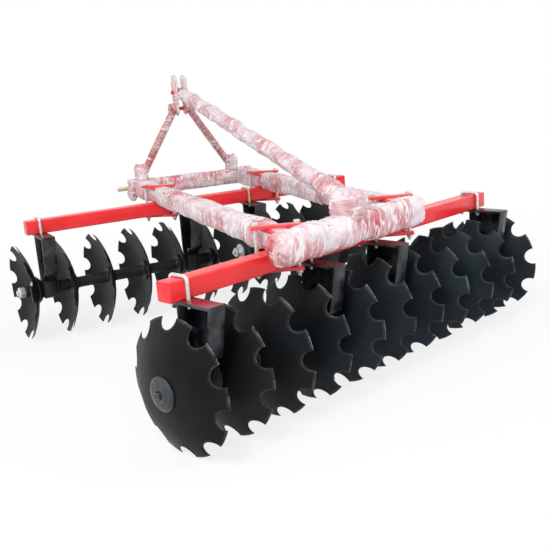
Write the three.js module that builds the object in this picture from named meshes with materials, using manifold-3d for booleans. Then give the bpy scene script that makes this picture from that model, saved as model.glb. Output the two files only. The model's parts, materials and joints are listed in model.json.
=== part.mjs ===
// Mounted disc harrow: two gangs of notched discs under a trapezoid frame with a three-point hitch.
// Millimetres. +X points to the machine's right, +Y forward to the hitch, +Z up.
import * as THREE from 'three';
import { mergeVertices } from 'three/addons/utils/BufferGeometryUtils.js';
import Module from 'manifold-3d';

const wasm = await Module();
wasm.setup();

// ---------- driving dimensions ----------

// clearances
const FIT_GAP = 0.3;
const JOURNAL_GAP = 0.9;
const DISC_BORE_GAP = 1.2;
const PIN_BORE_GAP = 0.6;
const BOND = 1;
const BEARING_SIDE_GAP = 3;

// discs
const DISC_RADIUS = 280;
const DISC_THICKNESS = 5;
const DISH_DEPTH = 78;
const FLAT_RADIUS = 66;
const NOTCHES = 10;
const NOTCH_RADIUS = 42;
const NOTCH_CENTRE_INSET = 5;
const DISC_SPACING = 230;
const DISCS_PER_GANG = 11;
const MIDDLE_RING = 0.6;

// gang bolt with its spools
const BOLT_RADIUS = 17;
const SPOOL_RADIUS = 33;
const SPOOL_FLANGE_RADIUS = 58;
const SPOOL_FLANGE_WIDTH = 12;
const BELL_RADIUS = 80;
const BELL_RIM_WIDTH = 10;
const BELL_THROAT_RADIUS = 50;
const DOME_RADIUS = 70;
const DOME_HEIGHT = 28;
const DOME_TIP_RADIUS = 20;
const DOME_SHOULDER_HEIGHT = 17;
const DOME_SHOULDER_RADIUS = 50;
const END_WASHER_RADIUS = 52;
const END_WASHER_WIDTH = 14;
const END_NUT_RADIUS = 34;
const END_NUT_WIDTH = 38;
const BOLT_TIP = 12;

// bearing housings
const JOURNAL_RADIUS = 32;
const HOUSING_WIDTH = 72;
const HOUSING_DEPTH = 104;
const HOUSING_HEIGHT = 110;
const HOUSING_CHAMFER = 18;
const BEARING_FROM_DISC = 76;

// gang beams and their hangers
const BEAM_SIZE = 80;
const BEAM_CORNER = 7;
const BEAM_OVERHANG_LEFT = 76;
const BEAM_OVERHANG_RIGHT = 90;
const BEAM_OVER_DISCS = 48;
const HANGER_WIDTH = 76;
const HANGER_WALL = 9;
const PLATE_THICKNESS = 12;
const LEG_FRONT_INSET = 60;
const LEG_TAPER = 25;
const LEG_SHOULDER_TAPER = 40;
const LEG_SHOULDER_HEIGHT = 120;
const LEG_FOOT_FRONT = 12;
const LEG_FOOT_REAR = 48;

// gangs: where disc 1 stands, the angle from the X axis, and where the beam lies over the discs
const GANG_DISTANCE = 1980;
const REAR_GANG = {
  x: 0,
  y: 0,
  angle: 22,
  dishSide: -1,
  beamAhead: 35,
  plateReach: 170,
  split: 5,
  bearingDiscs: [1, 4, 6, 10],
  phases: [3.5, 3.5, 21.5, 21.5, 3.5, 29.5, 29.5, 11.5, 29.5, 11.5, 29.5],
};
const FRONT_GANG = {
  x: -360,
  y: GANG_DISTANCE,
  angle: 6,
  dishSide: 1,
  beamAhead: 35,
  plateReach: 170,
  split: 6,
  bearingDiscs: [1, 5, 7, 10],
  phases: [8, 26, 8, 8, 26, 26, 14, 32, 14, 32, 32],
};

// main frame
const FRAME_SIZE = 90;
const FRAME_CORNER = 9;
const SIDE_LEFT_FROM_HANGER = 154;
const SIDE_RIGHT_ROOM = 66;
const FRONT_CROSS_AHEAD = 630;
const REAR_CROSS_OVERHANG = 22;

// clamps that hold the gang beams under the side members
const CLAMP_BOLT_ROOM = 10;
const CLAMP_TURN = 42;
const CLAMP_BAR_WIDTH = 40;
const CLAMP_BAR_THICKNESS = 16;
const CLAMP_BAR_END = 20;
const CLAMP_BOLT_RADIUS = 9;
const CLAMP_NUT_RADIUS = 15;
const CLAMP_NUT_HEIGHT = 14;
const CLAMP_BOLT_TIP = 12;

// mast
const MAST_LEFT_OF_MIDDLE = 22;
const MAST_PLATE_GAP = 54;
const MAST_PLATE_THICKNESS = 12;
const MAST_PLATE_WIDTH = 84;
const MAST_PLATE_CORNER = 20;
const MAST_PLATE_FOOT_CORNER = 14;
const MAST_PLATE_BOTTOM = 1208;
const MAST_PLATE_TOP = 1450;
const TOP_LINK_HOLE_HEIGHT = 1417;
const TOP_LINK_HOLE_RADIUS = 13;
const STAY_PIN_HEIGHT = 1348;
const LEG_PIN_HEIGHT = 1238;
const PIN_RADIUS = 12.5;
const STAY_PIN_OVERHANG = 22;
const LEG_PIN_OVERHANG = 6;
const MAST_LEG_RADIUS = 21;
const MAST_LEG_SPREAD = 330;
const MAST_LEG_EYE = 34;
const MAST_SHOE_HEIGHT = 70;
const MAST_SHOE_WIDTH = 90;
const MAST_SHOE_THICKNESS = 12;
const MAST_RIB_INSET = 4;

// backstay
const STAY_RADIUS = 26;
const STAY_END_MARGIN = 6;
const STAY_EAR_AHEAD = 12;
const STAY_EAR_HEIGHT = 100;
const STAY_EAR_WIDTH = 76;
const STAY_EAR_THICKNESS = 12;
const STAY_EAR_GAP = 54;
const STAY_EAR_BASE = 12;
const STAY_EAR_CORNER = 12;
const STAY_EAR_PIN_HEIGHT = 72;
const STAY_EAR_PIN_OVERHANG = 12;

// lower hitch
const HITCH_PLATE_THICKNESS = 16;
const HITCH_PLATE_LENGTH = 120;
const HITCH_PLATE_DROP = 26;
const HITCH_COLLAR_RADIUS = 24;
const HITCH_COLLAR_WIDTH = 10;
const HITCH_PIN_RADIUS = 14;
const HITCH_PIN_LENGTH = 95;

// ---------- values that follow from them ----------

const NOTCH_CENTRE_RADIUS = DISC_RADIUS - NOTCH_CENTRE_INSET;
const DISH_RADIUS = dishRadius();
const BEAM_HEIGHT = 2 * DISC_RADIUS + BEAM_OVER_DISCS;
const BEAM_TOP = BEAM_HEIGHT + BEAM_SIZE;
const FRAME_BOTTOM = BEAM_TOP + FIT_GAP;
const FRAME_TOP = FRAME_BOTTOM + FRAME_SIZE;
const FRAME_MIDDLE = FRAME_BOTTOM + FRAME_SIZE / 2;
const HOUSING_TOP = DISC_RADIUS + HOUSING_HEIGHT / 2;
const FRONT_CROSS_Y = GANG_DISTANCE + FRONT_CROSS_AHEAD;
const SIDE_LEFT_X = bearingX(REAR_GANG, 1) - SIDE_LEFT_FROM_HANGER;
const CLAMP_BOLT_ASIDE = BEAM_SIZE / 2 + CLAMP_BOLT_RADIUS + CLAMP_BOLT_ROOM;
const CLAMP_BOLT_REACH = CLAMP_BOLT_ASIDE / Math.sin(radians(CLAMP_TURN));
const CLAMP_BOLT_LEFT = CLAMP_BOLT_REACH * Math.cos(radians(FRONT_GANG.angle - CLAMP_TURN));
const SIDE_RIGHT_X = bearingX(FRONT_GANG, 2) + CLAMP_BOLT_LEFT + SIDE_RIGHT_ROOM;
const MAST_X = (SIDE_LEFT_X + SIDE_RIGHT_X) / 2 - MAST_LEFT_OF_MIDDLE;
const REAR_CROSS_BEHIND_BEAM = CLAMP_BOLT_ASIDE + CLAMP_BOLT_RADIUS + CLAMP_BOLT_ROOM + FRAME_SIZE / 2;

// ---------- finishes ----------

function finish(color, roughness, metalness) {
  return new THREE.MeshStandardMaterial({ color, roughness, metalness });
}

const discBlack = finish(0x1d2124, 0.38, 0.3);
const castBlack = finish(0x14181b, 0.45, 0.3);
const hangerBlack = finish(0x15171a, 0.35, 0.3);
const beamRed = finish(0xe3161b, 0.3, 0.0);
const zinc = finish(0xc9c5b4, 0.35, 0.8);

// ---------- helpers ----------

function radians(degrees) {
  return THREE.MathUtils.degToRad(degrees);
}

// Radius of the sphere that rises by DISH_DEPTH from the flat centre to the rim.
function dishRadius() {
  const level = (DISC_RADIUS ** 2 - FLAT_RADIUS ** 2 - DISH_DEPTH ** 2) / (2 * DISH_DEPTH);
  return Math.hypot(DISC_RADIUS, level);
}

// Axial rise of the dish from its flat centre out to a radius.
function dishRise(radius) {
  if (radius <= FLAT_RADIUS) return 0;
  const base = Math.sqrt(DISH_RADIUS ** 2 - FLAT_RADIUS ** 2);
  return base - Math.sqrt(DISH_RADIUS ** 2 - radius ** 2);
}

function solidOf(geometry) {
  const bare = geometry.index ? geometry.toNonIndexed() : geometry.clone();
  bare.deleteAttribute('normal');
  bare.deleteAttribute('uv');
  const merged = mergeVertices(bare, 1e-3);
  const mesh = new wasm.Mesh({
    numProp: 3,
    vertProperties: new Float32Array(merged.attributes.position.array),
    triVerts: new Uint32Array(merged.index.array),
  });
  return new wasm.Manifold(mesh);
}

function geometryOf(solid) {
  const mesh = solid.getMesh();
  const geometry = new THREE.BufferGeometry();
  geometry.setAttribute('position', new THREE.BufferAttribute(new Float32Array(mesh.vertProperties), 3));
  geometry.setIndex(new THREE.BufferAttribute(new Uint32Array(mesh.triVerts), 1));
  geometry.computeVertexNormals();
  return geometry;
}

function join(geometries) {
  return geometryOf(geometries.map(solidOf).reduce((sum, next) => sum.add(next)));
}

function cut(geometry, tools) {
  return geometryOf(tools.map(solidOf).reduce((rest, tool) => rest.subtract(tool), solidOf(geometry)));
}

function box(x0, x1, y0, y1, z0, z1) {
  const geometry = new THREE.BoxGeometry(x1 - x0, y1 - y0, z1 - z0);
  return geometry.translate((x0 + x1) / 2, (y0 + y1) / 2, (z0 + z1) / 2);
}

// Cylinder between two points.
function rod(from, to, radius, sides = 16) {
  const start = new THREE.Vector3(...from);
  const along = new THREE.Vector3(...to).sub(start);
  const geometry = new THREE.CylinderGeometry(radius, radius, along.length(), sides);
  const upright = new THREE.Vector3(0, 1, 0);
  const turn = new THREE.Quaternion().setFromUnitVectors(upright, along.clone().normalize());
  return geometry.applyQuaternion(turn).translate(...start.addScaledVector(along, 0.5).toArray());
}

// Turned piece on the X axis from [position along X, radius] pairs.
function turned(profile, sides) {
  const points = profile.map(([x, r]) => new THREE.Vector2(r, x));
  return new THREE.LatheGeometry(points, sides).rotateZ(-Math.PI / 2);
}

// Outline in the YZ plane, extruded along X from x0 to x1.
function sidePlate(outline, x0, x1, holes = []) {
  const shape = new THREE.Shape(outline.map(([y, z]) => new THREE.Vector2(y, z)));
  holes.forEach(([y, z, r]) => shape.holes.push(new THREE.Path().absarc(y, z, r, 0, 2 * Math.PI, true)));
  const geometry = new THREE.ExtrudeGeometry(shape, { depth: x1 - x0, bevelEnabled: false, curveSegments: 8 });
  return geometry.rotateX(Math.PI / 2).rotateZ(Math.PI / 2).translate(x0, 0, 0);
}

// Plan outline in the XY plane, extruded upwards from z0 to z1.
function floorPlate(outline, z0, z1) {
  const shape = new THREE.Shape(outline.map(([x, y]) => new THREE.Vector2(x, y)));
  return new THREE.ExtrudeGeometry(shape, { depth: z1 - z0, bevelEnabled: false }).translate(0, 0, z0);
}

// Square section with rounded corners, running along X from 0, centred on the axis.
function squareBar(length, size, corner) {
  const h = size / 2;
  const shape = new THREE.Shape();
  shape.absarc(h - corner, h - corner, corner, 0, Math.PI / 2);
  shape.absarc(corner - h, h - corner, corner, Math.PI / 2, Math.PI);
  shape.absarc(corner - h, corner - h, corner, Math.PI, 1.5 * Math.PI);
  shape.absarc(h - corner, corner - h, corner, 1.5 * Math.PI, 2 * Math.PI);
  const geometry = new THREE.ExtrudeGeometry(shape, { depth: length, bevelEnabled: false, curveSegments: 2 });
  return geometry.rotateX(Math.PI / 2).rotateZ(Math.PI / 2);
}

function addMesh(parent, name, geometry, material) {
  const mesh = new THREE.Mesh(geometry, material);
  mesh.name = name;
  parent.add(mesh);
  return mesh;
}

// ---------- discs ----------

// One notch and one tooth, as polar [angle, radius] points; the angle is from the top.
function rimPoints() {
  const step = 2 * Math.PI / NOTCHES;
  const meet = (DISC_RADIUS ** 2 + NOTCH_CENTRE_RADIUS ** 2 - NOTCH_RADIUS ** 2)
    / (2 * DISC_RADIUS * NOTCH_CENTRE_RADIUS);
  const edge = Math.acos(meet);
  const corner = new THREE.Vector2(DISC_RADIUS * Math.sin(edge), DISC_RADIUS * Math.cos(edge));
  const sweep = Math.atan2(corner.x, NOTCH_CENTRE_RADIUS - corner.y);
  const points = [];
  for (let k = 0; k < NOTCHES; k += 1) {
    for (const share of [-1, -0.4, 0.4, 1]) {
      const x = NOTCH_RADIUS * Math.sin(share * sweep);
      const y = NOTCH_CENTRE_RADIUS - NOTCH_RADIUS * Math.cos(share * sweep);
      points.push([k * step + Math.atan2(x, y), Math.hypot(x, y)]);
    }
    points.push([(k + 0.5) * step, DISC_RADIUS]);
  }
  return points;
}

function circlePoints(radius, count) {
  return Array.from({ length: count }, (_, k) => [(k - 0.5) * 2 * Math.PI / count, radius]);
}

// Disc about the X axis with its flat centre at x = 0, dished towards +X.
function discGeometry(boreRadius) {
  const radii = [boreRadius, FLAT_RADIUS, DISC_RADIUS * MIDDLE_RING];
  const rings = radii.map((radius) => circlePoints(radius, NOTCHES));
  rings.push(rimPoints());
  const positions = [];
  const index = [];
  const faces = [0, DISC_THICKNESS].map((offset) => rings.map((ring) => ring.map(([angle, radius]) => {
    positions.push(offset + dishRise(radius), radius * Math.sin(angle), radius * Math.cos(angle));
    return { angle, id: positions.length / 3 - 1 };
  })));
  const triangle = (a, b, c, flip) => index.push(...(flip ? [a, c, b] : [a, b, c]));
  const stitch = (inner, outer, flip) => {
    let i = 0;
    let j = 0;
    while (i < inner.length || j < outer.length) {
      const a = inner[i % inner.length].id;
      const b = outer[j % outer.length].id;
      const nextInner = inner[(i + 1) % inner.length];
      const nextOuter = outer[(j + 1) % outer.length];
      const innerAngle = nextInner.angle + (i + 1 >= inner.length ? 2 * Math.PI : 0);
      const outerAngle = nextOuter.angle + (j + 1 >= outer.length ? 2 * Math.PI : 0);
      if (j >= outer.length || (i < inner.length && innerAngle < outerAngle)) {
        triangle(a, nextInner.id, b, flip);
        i += 1;
      } else {
        triangle(a, nextOuter.id, b, flip);
        j += 1;
      }
    }
  };
  faces.forEach((face, side) => {
    for (let k = 0; k + 1 < face.length; k += 1) stitch(face[k], face[k + 1], side === 0);
  });
  stitch(faces[0][0], faces[1][0], false);
  stitch(faces[0][3], faces[1][3], true);
  const geometry = new THREE.BufferGeometry();
  geometry.setAttribute('position', new THREE.Float32BufferAttribute(positions, 3));
  geometry.setIndex(index);
  geometry.computeVertexNormals();
  return geometry;
}

// ---------- gangs ----------

// Where a disc's flat centre starts along the gang: the dish bulges to dishSide.
function discFace(gang, number) {
  return (number - 1) * DISC_SPACING + gang.dishSide * DISH_DEPTH;
}

// Where a bearing stands along the gang: BEARING_FROM_DISC off the convex side of its disc.
function bearingPlace(gang, disc) {
  if (gang.dishSide < 0) return discFace(gang, disc + 1) - BEARING_FROM_DISC;
  return discFace(gang, disc) + BEARING_FROM_DISC;
}

function bearingX(gang, order) {
  return gang.x + bearingPlace(gang, gang.bearingDiscs[order]) * Math.cos(radians(gang.angle));
}

// Turned profile of a gang bolt and its spools from the first disc to the last.
// The profile is written for dishes that open towards +X, so positions count from the convex end.
function gangBoltGeometry(gang, first, last) {
  const count = last - first + 1;
  const bearings = gang.bearingDiscs.filter((disc) => disc >= first && disc <= last);
  const spoolOf = (disc) => (gang.dishSide < 0 ? disc - first : last - disc);
  const withBearing = bearings.map((disc) => (gang.dishSide < 0 ? spoolOf(disc) : spoolOf(disc) - 1));
  const profile = [[-DOME_HEIGHT - FIT_GAP, 0], [-DOME_HEIGHT - FIT_GAP, DOME_TIP_RADIUS]];
  profile.push([-DOME_SHOULDER_HEIGHT, DOME_SHOULDER_RADIUS], [-FIT_GAP, DOME_RADIUS]);
  profile.push([-FIT_GAP, BOLT_RADIUS]);
  for (let k = 0; k + 1 < count; k += 1) {
    const start = k * DISC_SPACING + DISC_THICKNESS + FIT_GAP;
    const end = (k + 1) * DISC_SPACING - FIT_GAP;
    profile.push([start, BOLT_RADIUS], [start, SPOOL_FLANGE_RADIUS]);
    profile.push([start + SPOOL_FLANGE_WIDTH, SPOOL_FLANGE_RADIUS]);
    if (withBearing.includes(k)) {
      const middle = (k + 1) * DISC_SPACING - BEARING_FROM_DISC;
      const left = middle - HOUSING_WIDTH / 2 - BEARING_SIDE_GAP;
      const right = middle + HOUSING_WIDTH / 2 + BEARING_SIDE_GAP;
      profile.push([start + SPOOL_FLANGE_WIDTH, SPOOL_RADIUS], [left - SPOOL_FLANGE_WIDTH, SPOOL_RADIUS]);
      profile.push([left - SPOOL_FLANGE_WIDTH, SPOOL_FLANGE_RADIUS], [left, SPOOL_FLANGE_RADIUS]);
      profile.push([left, JOURNAL_RADIUS], [right, JOURNAL_RADIUS], [right, BELL_THROAT_RADIUS]);
      profile.push([end - BELL_RIM_WIDTH, BELL_RADIUS], [end, BELL_RADIUS]);
    } else {
      profile.push([start + SPOOL_FLANGE_WIDTH, SPOOL_RADIUS], [end - SPOOL_FLANGE_WIDTH, SPOOL_RADIUS]);
      profile.push([end - SPOOL_FLANGE_WIDTH, SPOOL_FLANGE_RADIUS], [end, SPOOL_FLANGE_RADIUS]);
    }
    profile.push([end, BOLT_RADIUS]);
  }
  const washer = (count - 1) * DISC_SPACING + DISC_THICKNESS + FIT_GAP;
  const nut = washer + END_WASHER_WIDTH;
  profile.push([washer, BOLT_RADIUS], [washer, END_WASHER_RADIUS], [nut, END_WASHER_RADIUS]);
  profile.push([nut, END_NUT_RADIUS], [nut + END_NUT_WIDTH, END_NUT_RADIUS]);
  profile.push([nut + END_NUT_WIDTH, BOLT_RADIUS], [nut + END_NUT_WIDTH + BOLT_TIP, BOLT_RADIUS]);
  profile.push([nut + END_NUT_WIDTH + BOLT_TIP, 0]);
  return turned(profile, 10);
}

function addGangSection(frame, gang, place, side, first, last) {
  const open = -gang.dishSide;
  const convexDisc = open > 0 ? first : last;
  const bolt = addMesh(frame, `${place}_gang_bolt_${side}`, gangBoltGeometry(gang, first, last), castBlack);
  bolt.position.set(discFace(gang, convexDisc), 0, DISC_RADIUS);
  if (open < 0) bolt.rotation.z = Math.PI;
  for (let number = first; number <= last; number += 1) {
    const geometry = discGeometry(BOLT_RADIUS + DISC_BORE_GAP);
    const disc = addMesh(frame, `${place}_disc_${number}`, geometry, discBlack);
    disc.position.set(discFace(gang, number), 0, DISC_RADIUS);
    const phase = radians(gang.phases[number - 1]);
    disc.rotation.set(open > 0 ? -phase : phase, 0, open > 0 ? 0 : Math.PI, 'ZYX');
  }
}

// ---------- bearings, hangers and beams ----------

function housingGeometry() {
  const w = HOUSING_WIDTH / 2;
  const d = HOUSING_DEPTH / 2;
  const h = HOUSING_HEIGHT / 2;
  const c = HOUSING_CHAMFER;
  const outline = [[-d, h], [-d, c - h], [c - d, -h], [d - c, -h], [d, c - h], [d, h]];
  const shape = new THREE.Shape(outline.map(([y, z]) => new THREE.Vector2(y, z)));
  shape.holes.push(new THREE.Path().absarc(0, 0, JOURNAL_RADIUS + JOURNAL_GAP, 0, 2 * Math.PI, true));
  const geometry = new THREE.ExtrudeGeometry(shape, { depth: 2 * w, bevelEnabled: false, curveSegments: 10 });
  return geometry.rotateX(Math.PI / 2).rotateZ(Math.PI / 2).translate(-w, 0, 0);
}

// Channel leg under its top plate, open towards -X. Y counts from the gang axis, Z from the floor.
function hangerGeometry(gang) {
  const w = HANGER_WIDTH / 2;
  const plateTop = BEAM_HEIGHT - FIT_GAP;
  const plateFoot = plateTop - PLATE_THICKNESS;
  const front = gang.beamAhead + BEAM_SIZE / 2;
  const rear = gang.beamAhead - BEAM_SIZE / 2 - gang.plateReach;
  const legFront = front - LEG_FRONT_INSET;
  const foot = HOUSING_TOP + FIT_GAP;
  const shoulder = foot + LEG_SHOULDER_HEIGHT / 2;
  const bend = foot + LEG_SHOULDER_HEIGHT;
  const t = HANGER_WALL;
  const outline = (inset, low) => [
    [legFront - inset, plateFoot + BOND],
    [rear + inset, plateFoot + BOND],
    [rear + LEG_TAPER + inset, bend],
    [rear + LEG_SHOULDER_TAPER + inset, shoulder],
    [-LEG_FOOT_REAR + inset, low],
    [LEG_FOOT_FRONT - inset, low],
    [legFront - inset, shoulder],
  ];
  const leg = sidePlate(outline(0, foot), -w, w);
  const pocket = sidePlate(outline(t, foot + t), -w - BOND, w - t);
  const plate = box(-w, w, rear, front, plateFoot, plateTop);
  return geometryOf(solidOf(leg).subtract(solidOf(pocket)).add(solidOf(plate)));
}

function addGang(model, gang, place) {
  const frame = new THREE.Group();
  frame.position.set(gang.x, gang.y, 0);
  frame.rotation.z = radians(gang.angle);
  model.add(frame);
  addGangSection(frame, gang, place, 'left', 1, gang.split);
  addGangSection(frame, gang, place, 'right', gang.split + 1, DISCS_PER_GANG);
  gang.bearingDiscs.forEach((disc, k) => {
    const between = bearingPlace(gang, disc);
    const housing = addMesh(frame, `${place}_bearing_${k + 1}`, housingGeometry(), castBlack);
    housing.position.set(between, 0, DISC_RADIUS);
    const hanger = addMesh(frame, `${place}_hanger_${k + 1}`, hangerGeometry(gang), hangerBlack);
    hanger.position.set(between, 0, 0);
  });
  const start = bearingPlace(gang, gang.bearingDiscs[0]) - BEAM_OVERHANG_LEFT;
  const end = bearingPlace(gang, gang.bearingDiscs[3]) + BEAM_OVERHANG_RIGHT;
  const beam = addMesh(frame, `${place}_gang_beam`, squareBar(end - start, BEAM_SIZE, BEAM_CORNER), beamRed);
  beam.position.set(start, gang.beamAhead, BEAM_HEIGHT + BEAM_SIZE / 2);
}

// Y of a line parallel to a gang, a distance ahead of its disc axis, at a given X.
function gangLineY(gang, x, ahead) {
  return gang.y + (x - gang.x) * Math.tan(radians(gang.angle)) + ahead / Math.cos(radians(gang.angle));
}

// ---------- main frame ----------

function addFrame(model) {
  const h = FRAME_SIZE / 2;
  const turn = radians(REAR_GANG.angle);
  const crossAhead = REAR_GANG.beamAhead - REAR_CROSS_BEHIND_BEAM;
  const frontEnd = FRONT_CROSS_Y - h - FIT_GAP;
  const rearEnd = (x) => gangLineY(REAR_GANG, x, crossAhead + h + FIT_GAP);
  for (const [side, x] of [['left', SIDE_LEFT_X], ['right', SIDE_RIGHT_X]]) {
    const outline = [[x - h, rearEnd(x - h)], [x + h, rearEnd(x + h)], [x + h, frontEnd], [x - h, frontEnd]];
    addMesh(model, `side_member_${side}`, floorPlate(outline, FRAME_BOTTOM, FRAME_TOP), beamRed);
  }
  const frontCross = squareBar(SIDE_RIGHT_X - SIDE_LEFT_X + FRAME_SIZE, FRAME_SIZE, FRAME_CORNER);
  const frontPlace = [SIDE_LEFT_X - h, FRONT_CROSS_Y, FRAME_MIDDLE];
  addMesh(model, 'front_cross_member', frontCross, beamRed).position.set(...frontPlace);
  const start = SIDE_LEFT_X - h - REAR_CROSS_OVERHANG;
  const length = (SIDE_RIGHT_X + h + REAR_CROSS_OVERHANG - start) / Math.cos(turn);
  const rearCross = addMesh(model, 'rear_cross_member', squareBar(length, FRAME_SIZE, FRAME_CORNER), beamRed);
  rearCross.position.set(start, gangLineY(REAR_GANG, start, crossAhead), FRAME_MIDDLE);
  rearCross.rotation.z = turn;
}

// Two bars across a side member and a gang beam, drawn together by two bolts.
function clampGeometry() {
  const reach = CLAMP_BOLT_REACH;
  const end = reach + CLAMP_BAR_END;
  const w = CLAMP_BAR_WIDTH / 2;
  const top = FRAME_TOP + FIT_GAP;
  const bottom = BEAM_HEIGHT - FIT_GAP;
  const parts = [
    box(-end, end, -w, w, top, top + CLAMP_BAR_THICKNESS),
    box(-end, end, -w, w, bottom - CLAMP_BAR_THICKNESS, bottom),
  ];
  for (const x of [-reach, reach]) {
    const low = bottom - CLAMP_BAR_THICKNESS - CLAMP_NUT_HEIGHT;
    const high = top + CLAMP_BAR_THICKNESS + CLAMP_NUT_HEIGHT;
    parts.push(rod([x, 0, low - CLAMP_BOLT_TIP], [x, 0, high], CLAMP_BOLT_RADIUS, 8));
    parts.push(rod([x, 0, low], [x, 0, bottom - BOND], CLAMP_NUT_RADIUS, 6));
    parts.push(rod([x, 0, top + BOND], [x, 0, high - BOND], CLAMP_NUT_RADIUS, 6));
  }
  return join(parts);
}

function addClamps(model) {
  for (const [place, gang] of [['front', FRONT_GANG], ['rear', REAR_GANG]]) {
    for (const [side, x] of [['left', SIDE_LEFT_X], ['right', SIDE_RIGHT_X]]) {
      const clamp = addMesh(model, `${place}_clamp_${side}`, clampGeometry(), beamRed);
      clamp.position.set(x, gangLineY(gang, x, gang.beamAhead), 0);
      clamp.rotation.z = radians(gang.angle - CLAMP_TURN);
    }
  }
}

// ---------- hitch ----------

const MAST_Y = FRONT_CROSS_Y;
const REAR_CROSS_Y = gangLineY(REAR_GANG, MAST_X, REAR_GANG.beamAhead - REAR_CROSS_BEHIND_BEAM);
const STAY_FOOT_Y = REAR_CROSS_Y + STAY_EAR_AHEAD;

// Two upright plates joined by the backstay pin and the leg pin.
function mastClevisGeometry() {
  const w = MAST_PLATE_WIDTH / 2;
  const foot = MAST_PLATE_FOOT_CORNER;
  const corner = MAST_PLATE_CORNER;
  const outer = MAST_PLATE_GAP / 2 + MAST_PLATE_THICKNESS;
  const outline = [
    [MAST_Y - w, MAST_PLATE_BOTTOM + foot], [MAST_Y - w + foot, MAST_PLATE_BOTTOM],
    [MAST_Y + w - foot, MAST_PLATE_BOTTOM], [MAST_Y + w, MAST_PLATE_BOTTOM + foot],
    [MAST_Y + w, MAST_PLATE_TOP - corner], [MAST_Y + w - corner, MAST_PLATE_TOP],
    [MAST_Y - w + corner, MAST_PLATE_TOP], [MAST_Y - w, MAST_PLATE_TOP - corner],
  ];
  const hole = [[MAST_Y, TOP_LINK_HOLE_HEIGHT, TOP_LINK_HOLE_RADIUS]];
  const reach = outer + MAST_LEG_RADIUS * 2 + FIT_GAP + LEG_PIN_OVERHANG;
  return join([
    sidePlate(outline, MAST_X - outer, MAST_X - MAST_PLATE_GAP / 2, hole),
    sidePlate(outline, MAST_X + MAST_PLATE_GAP / 2, MAST_X + outer, hole),
    rod([MAST_X - outer - STAY_PIN_OVERHANG, MAST_Y, STAY_PIN_HEIGHT],
      [MAST_X + outer + STAY_PIN_OVERHANG, MAST_Y, STAY_PIN_HEIGHT], PIN_RADIUS, 12),
    rod([MAST_X - reach, MAST_Y, LEG_PIN_HEIGHT], [MAST_X + reach, MAST_Y, LEG_PIN_HEIGHT], PIN_RADIUS, 12),
  ]);
}

// One leg from the front cross member's top up to the leg pin; side is -1 on the left.
function mastLegGeometry(side) {
  const eyeX = MAST_X + side * (MAST_PLATE_GAP / 2 + MAST_PLATE_THICKNESS + MAST_LEG_RADIUS + FIT_GAP);
  const footX = MAST_X + side * MAST_LEG_SPREAD;
  const floor = FRAME_TOP + FIT_GAP;
  const half = MAST_SHOE_WIDTH / 2;
  const r = MAST_LEG_RADIUS;
  const rib = r - MAST_RIB_INSET;
  const tube = rod([footX, MAST_Y, floor + r], [eyeX + side * r / 3, MAST_Y, LEG_PIN_HEIGHT - r], r, 14);
  const shoe = box(footX - half, footX + half, MAST_Y - r, MAST_Y + r, floor, floor + MAST_SHOE_THICKNESS);
  const web = box(footX - r, footX + r, MAST_Y - rib, MAST_Y + rib, floor, floor + MAST_SHOE_HEIGHT);
  const eye = rod([eyeX - r, MAST_Y, LEG_PIN_HEIGHT], [eyeX + r, MAST_Y, LEG_PIN_HEIGHT], MAST_LEG_EYE, 16);
  const reach = 2 * r;
  const bore = rod([eyeX - reach, MAST_Y, LEG_PIN_HEIGHT], [eyeX + reach, MAST_Y, LEG_PIN_HEIGHT],
    PIN_RADIUS + PIN_BORE_GAP, 12);
  return cut(join([tube, shoe, web, eye]), [bore]);
}

function stayBracketGeometry() {
  const floor = FRAME_TOP + FIT_GAP;
  const w = STAY_EAR_WIDTH / 2;
  const y = STAY_FOOT_Y;
  const top = floor + STAY_EAR_HEIGHT;
  const outer = STAY_EAR_GAP / 2 + STAY_EAR_THICKNESS;
  const corner = STAY_EAR_CORNER;
  const reach = outer + STAY_EAR_PIN_OVERHANG;
  const outline = [
    [y - w, floor], [y + w, floor], [y + w, top - corner],
    [y + w - corner, top], [y - w + corner, top], [y - w, top - corner],
  ];
  const pin = floor + STAY_EAR_PIN_HEIGHT;
  return join([
    sidePlate(outline, MAST_X - outer, MAST_X - STAY_EAR_GAP / 2),
    sidePlate(outline, MAST_X + STAY_EAR_GAP / 2, MAST_X + outer),
    box(MAST_X - outer, MAST_X + outer, y - w, y + w, floor, floor + STAY_EAR_BASE),
    rod([MAST_X - reach, y, pin], [MAST_X + reach, y, pin], PIN_RADIUS, 12),
  ]);
}

function backstayGeometry() {
  const foot = [MAST_X, STAY_FOOT_Y, FRAME_TOP + FIT_GAP + STAY_EAR_PIN_HEIGHT];
  const head = [MAST_X, MAST_Y, STAY_PIN_HEIGHT];
  const along = new THREE.Vector3(...head).sub(new THREE.Vector3(...foot)).normalize();
  const past = (point, distance) => new THREE.Vector3(...point).addScaledVector(along, distance).toArray();
  const beyond = STAY_RADIUS + STAY_END_MARGIN;
  const tube = rod(past(foot, -beyond), past(head, beyond), STAY_RADIUS, 18);
  const boreRadius = PIN_RADIUS + PIN_BORE_GAP;
  const bores = [foot, head].map(([x, y, z]) => rod([x - beyond, y, z], [x + beyond, y, z], boreRadius, 12));
  return cut(tube, bores);
}

function hitchBracketGeometry() {
  const h = FRAME_SIZE / 2;
  const t = HITCH_PLATE_THICKNESS;
  const half = HITCH_PLATE_LENGTH / 2;
  return join([
    box(0, t, -half, half, -h - HITCH_PLATE_DROP, h),
    rod([t - BOND, 0, 0], [t + HITCH_COLLAR_WIDTH, 0, 0], HITCH_COLLAR_RADIUS, 18),
    rod([t, 0, 0], [t + HITCH_PIN_LENGTH, 0, 0], HITCH_PIN_RADIUS, 16),
  ]);
}

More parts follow.
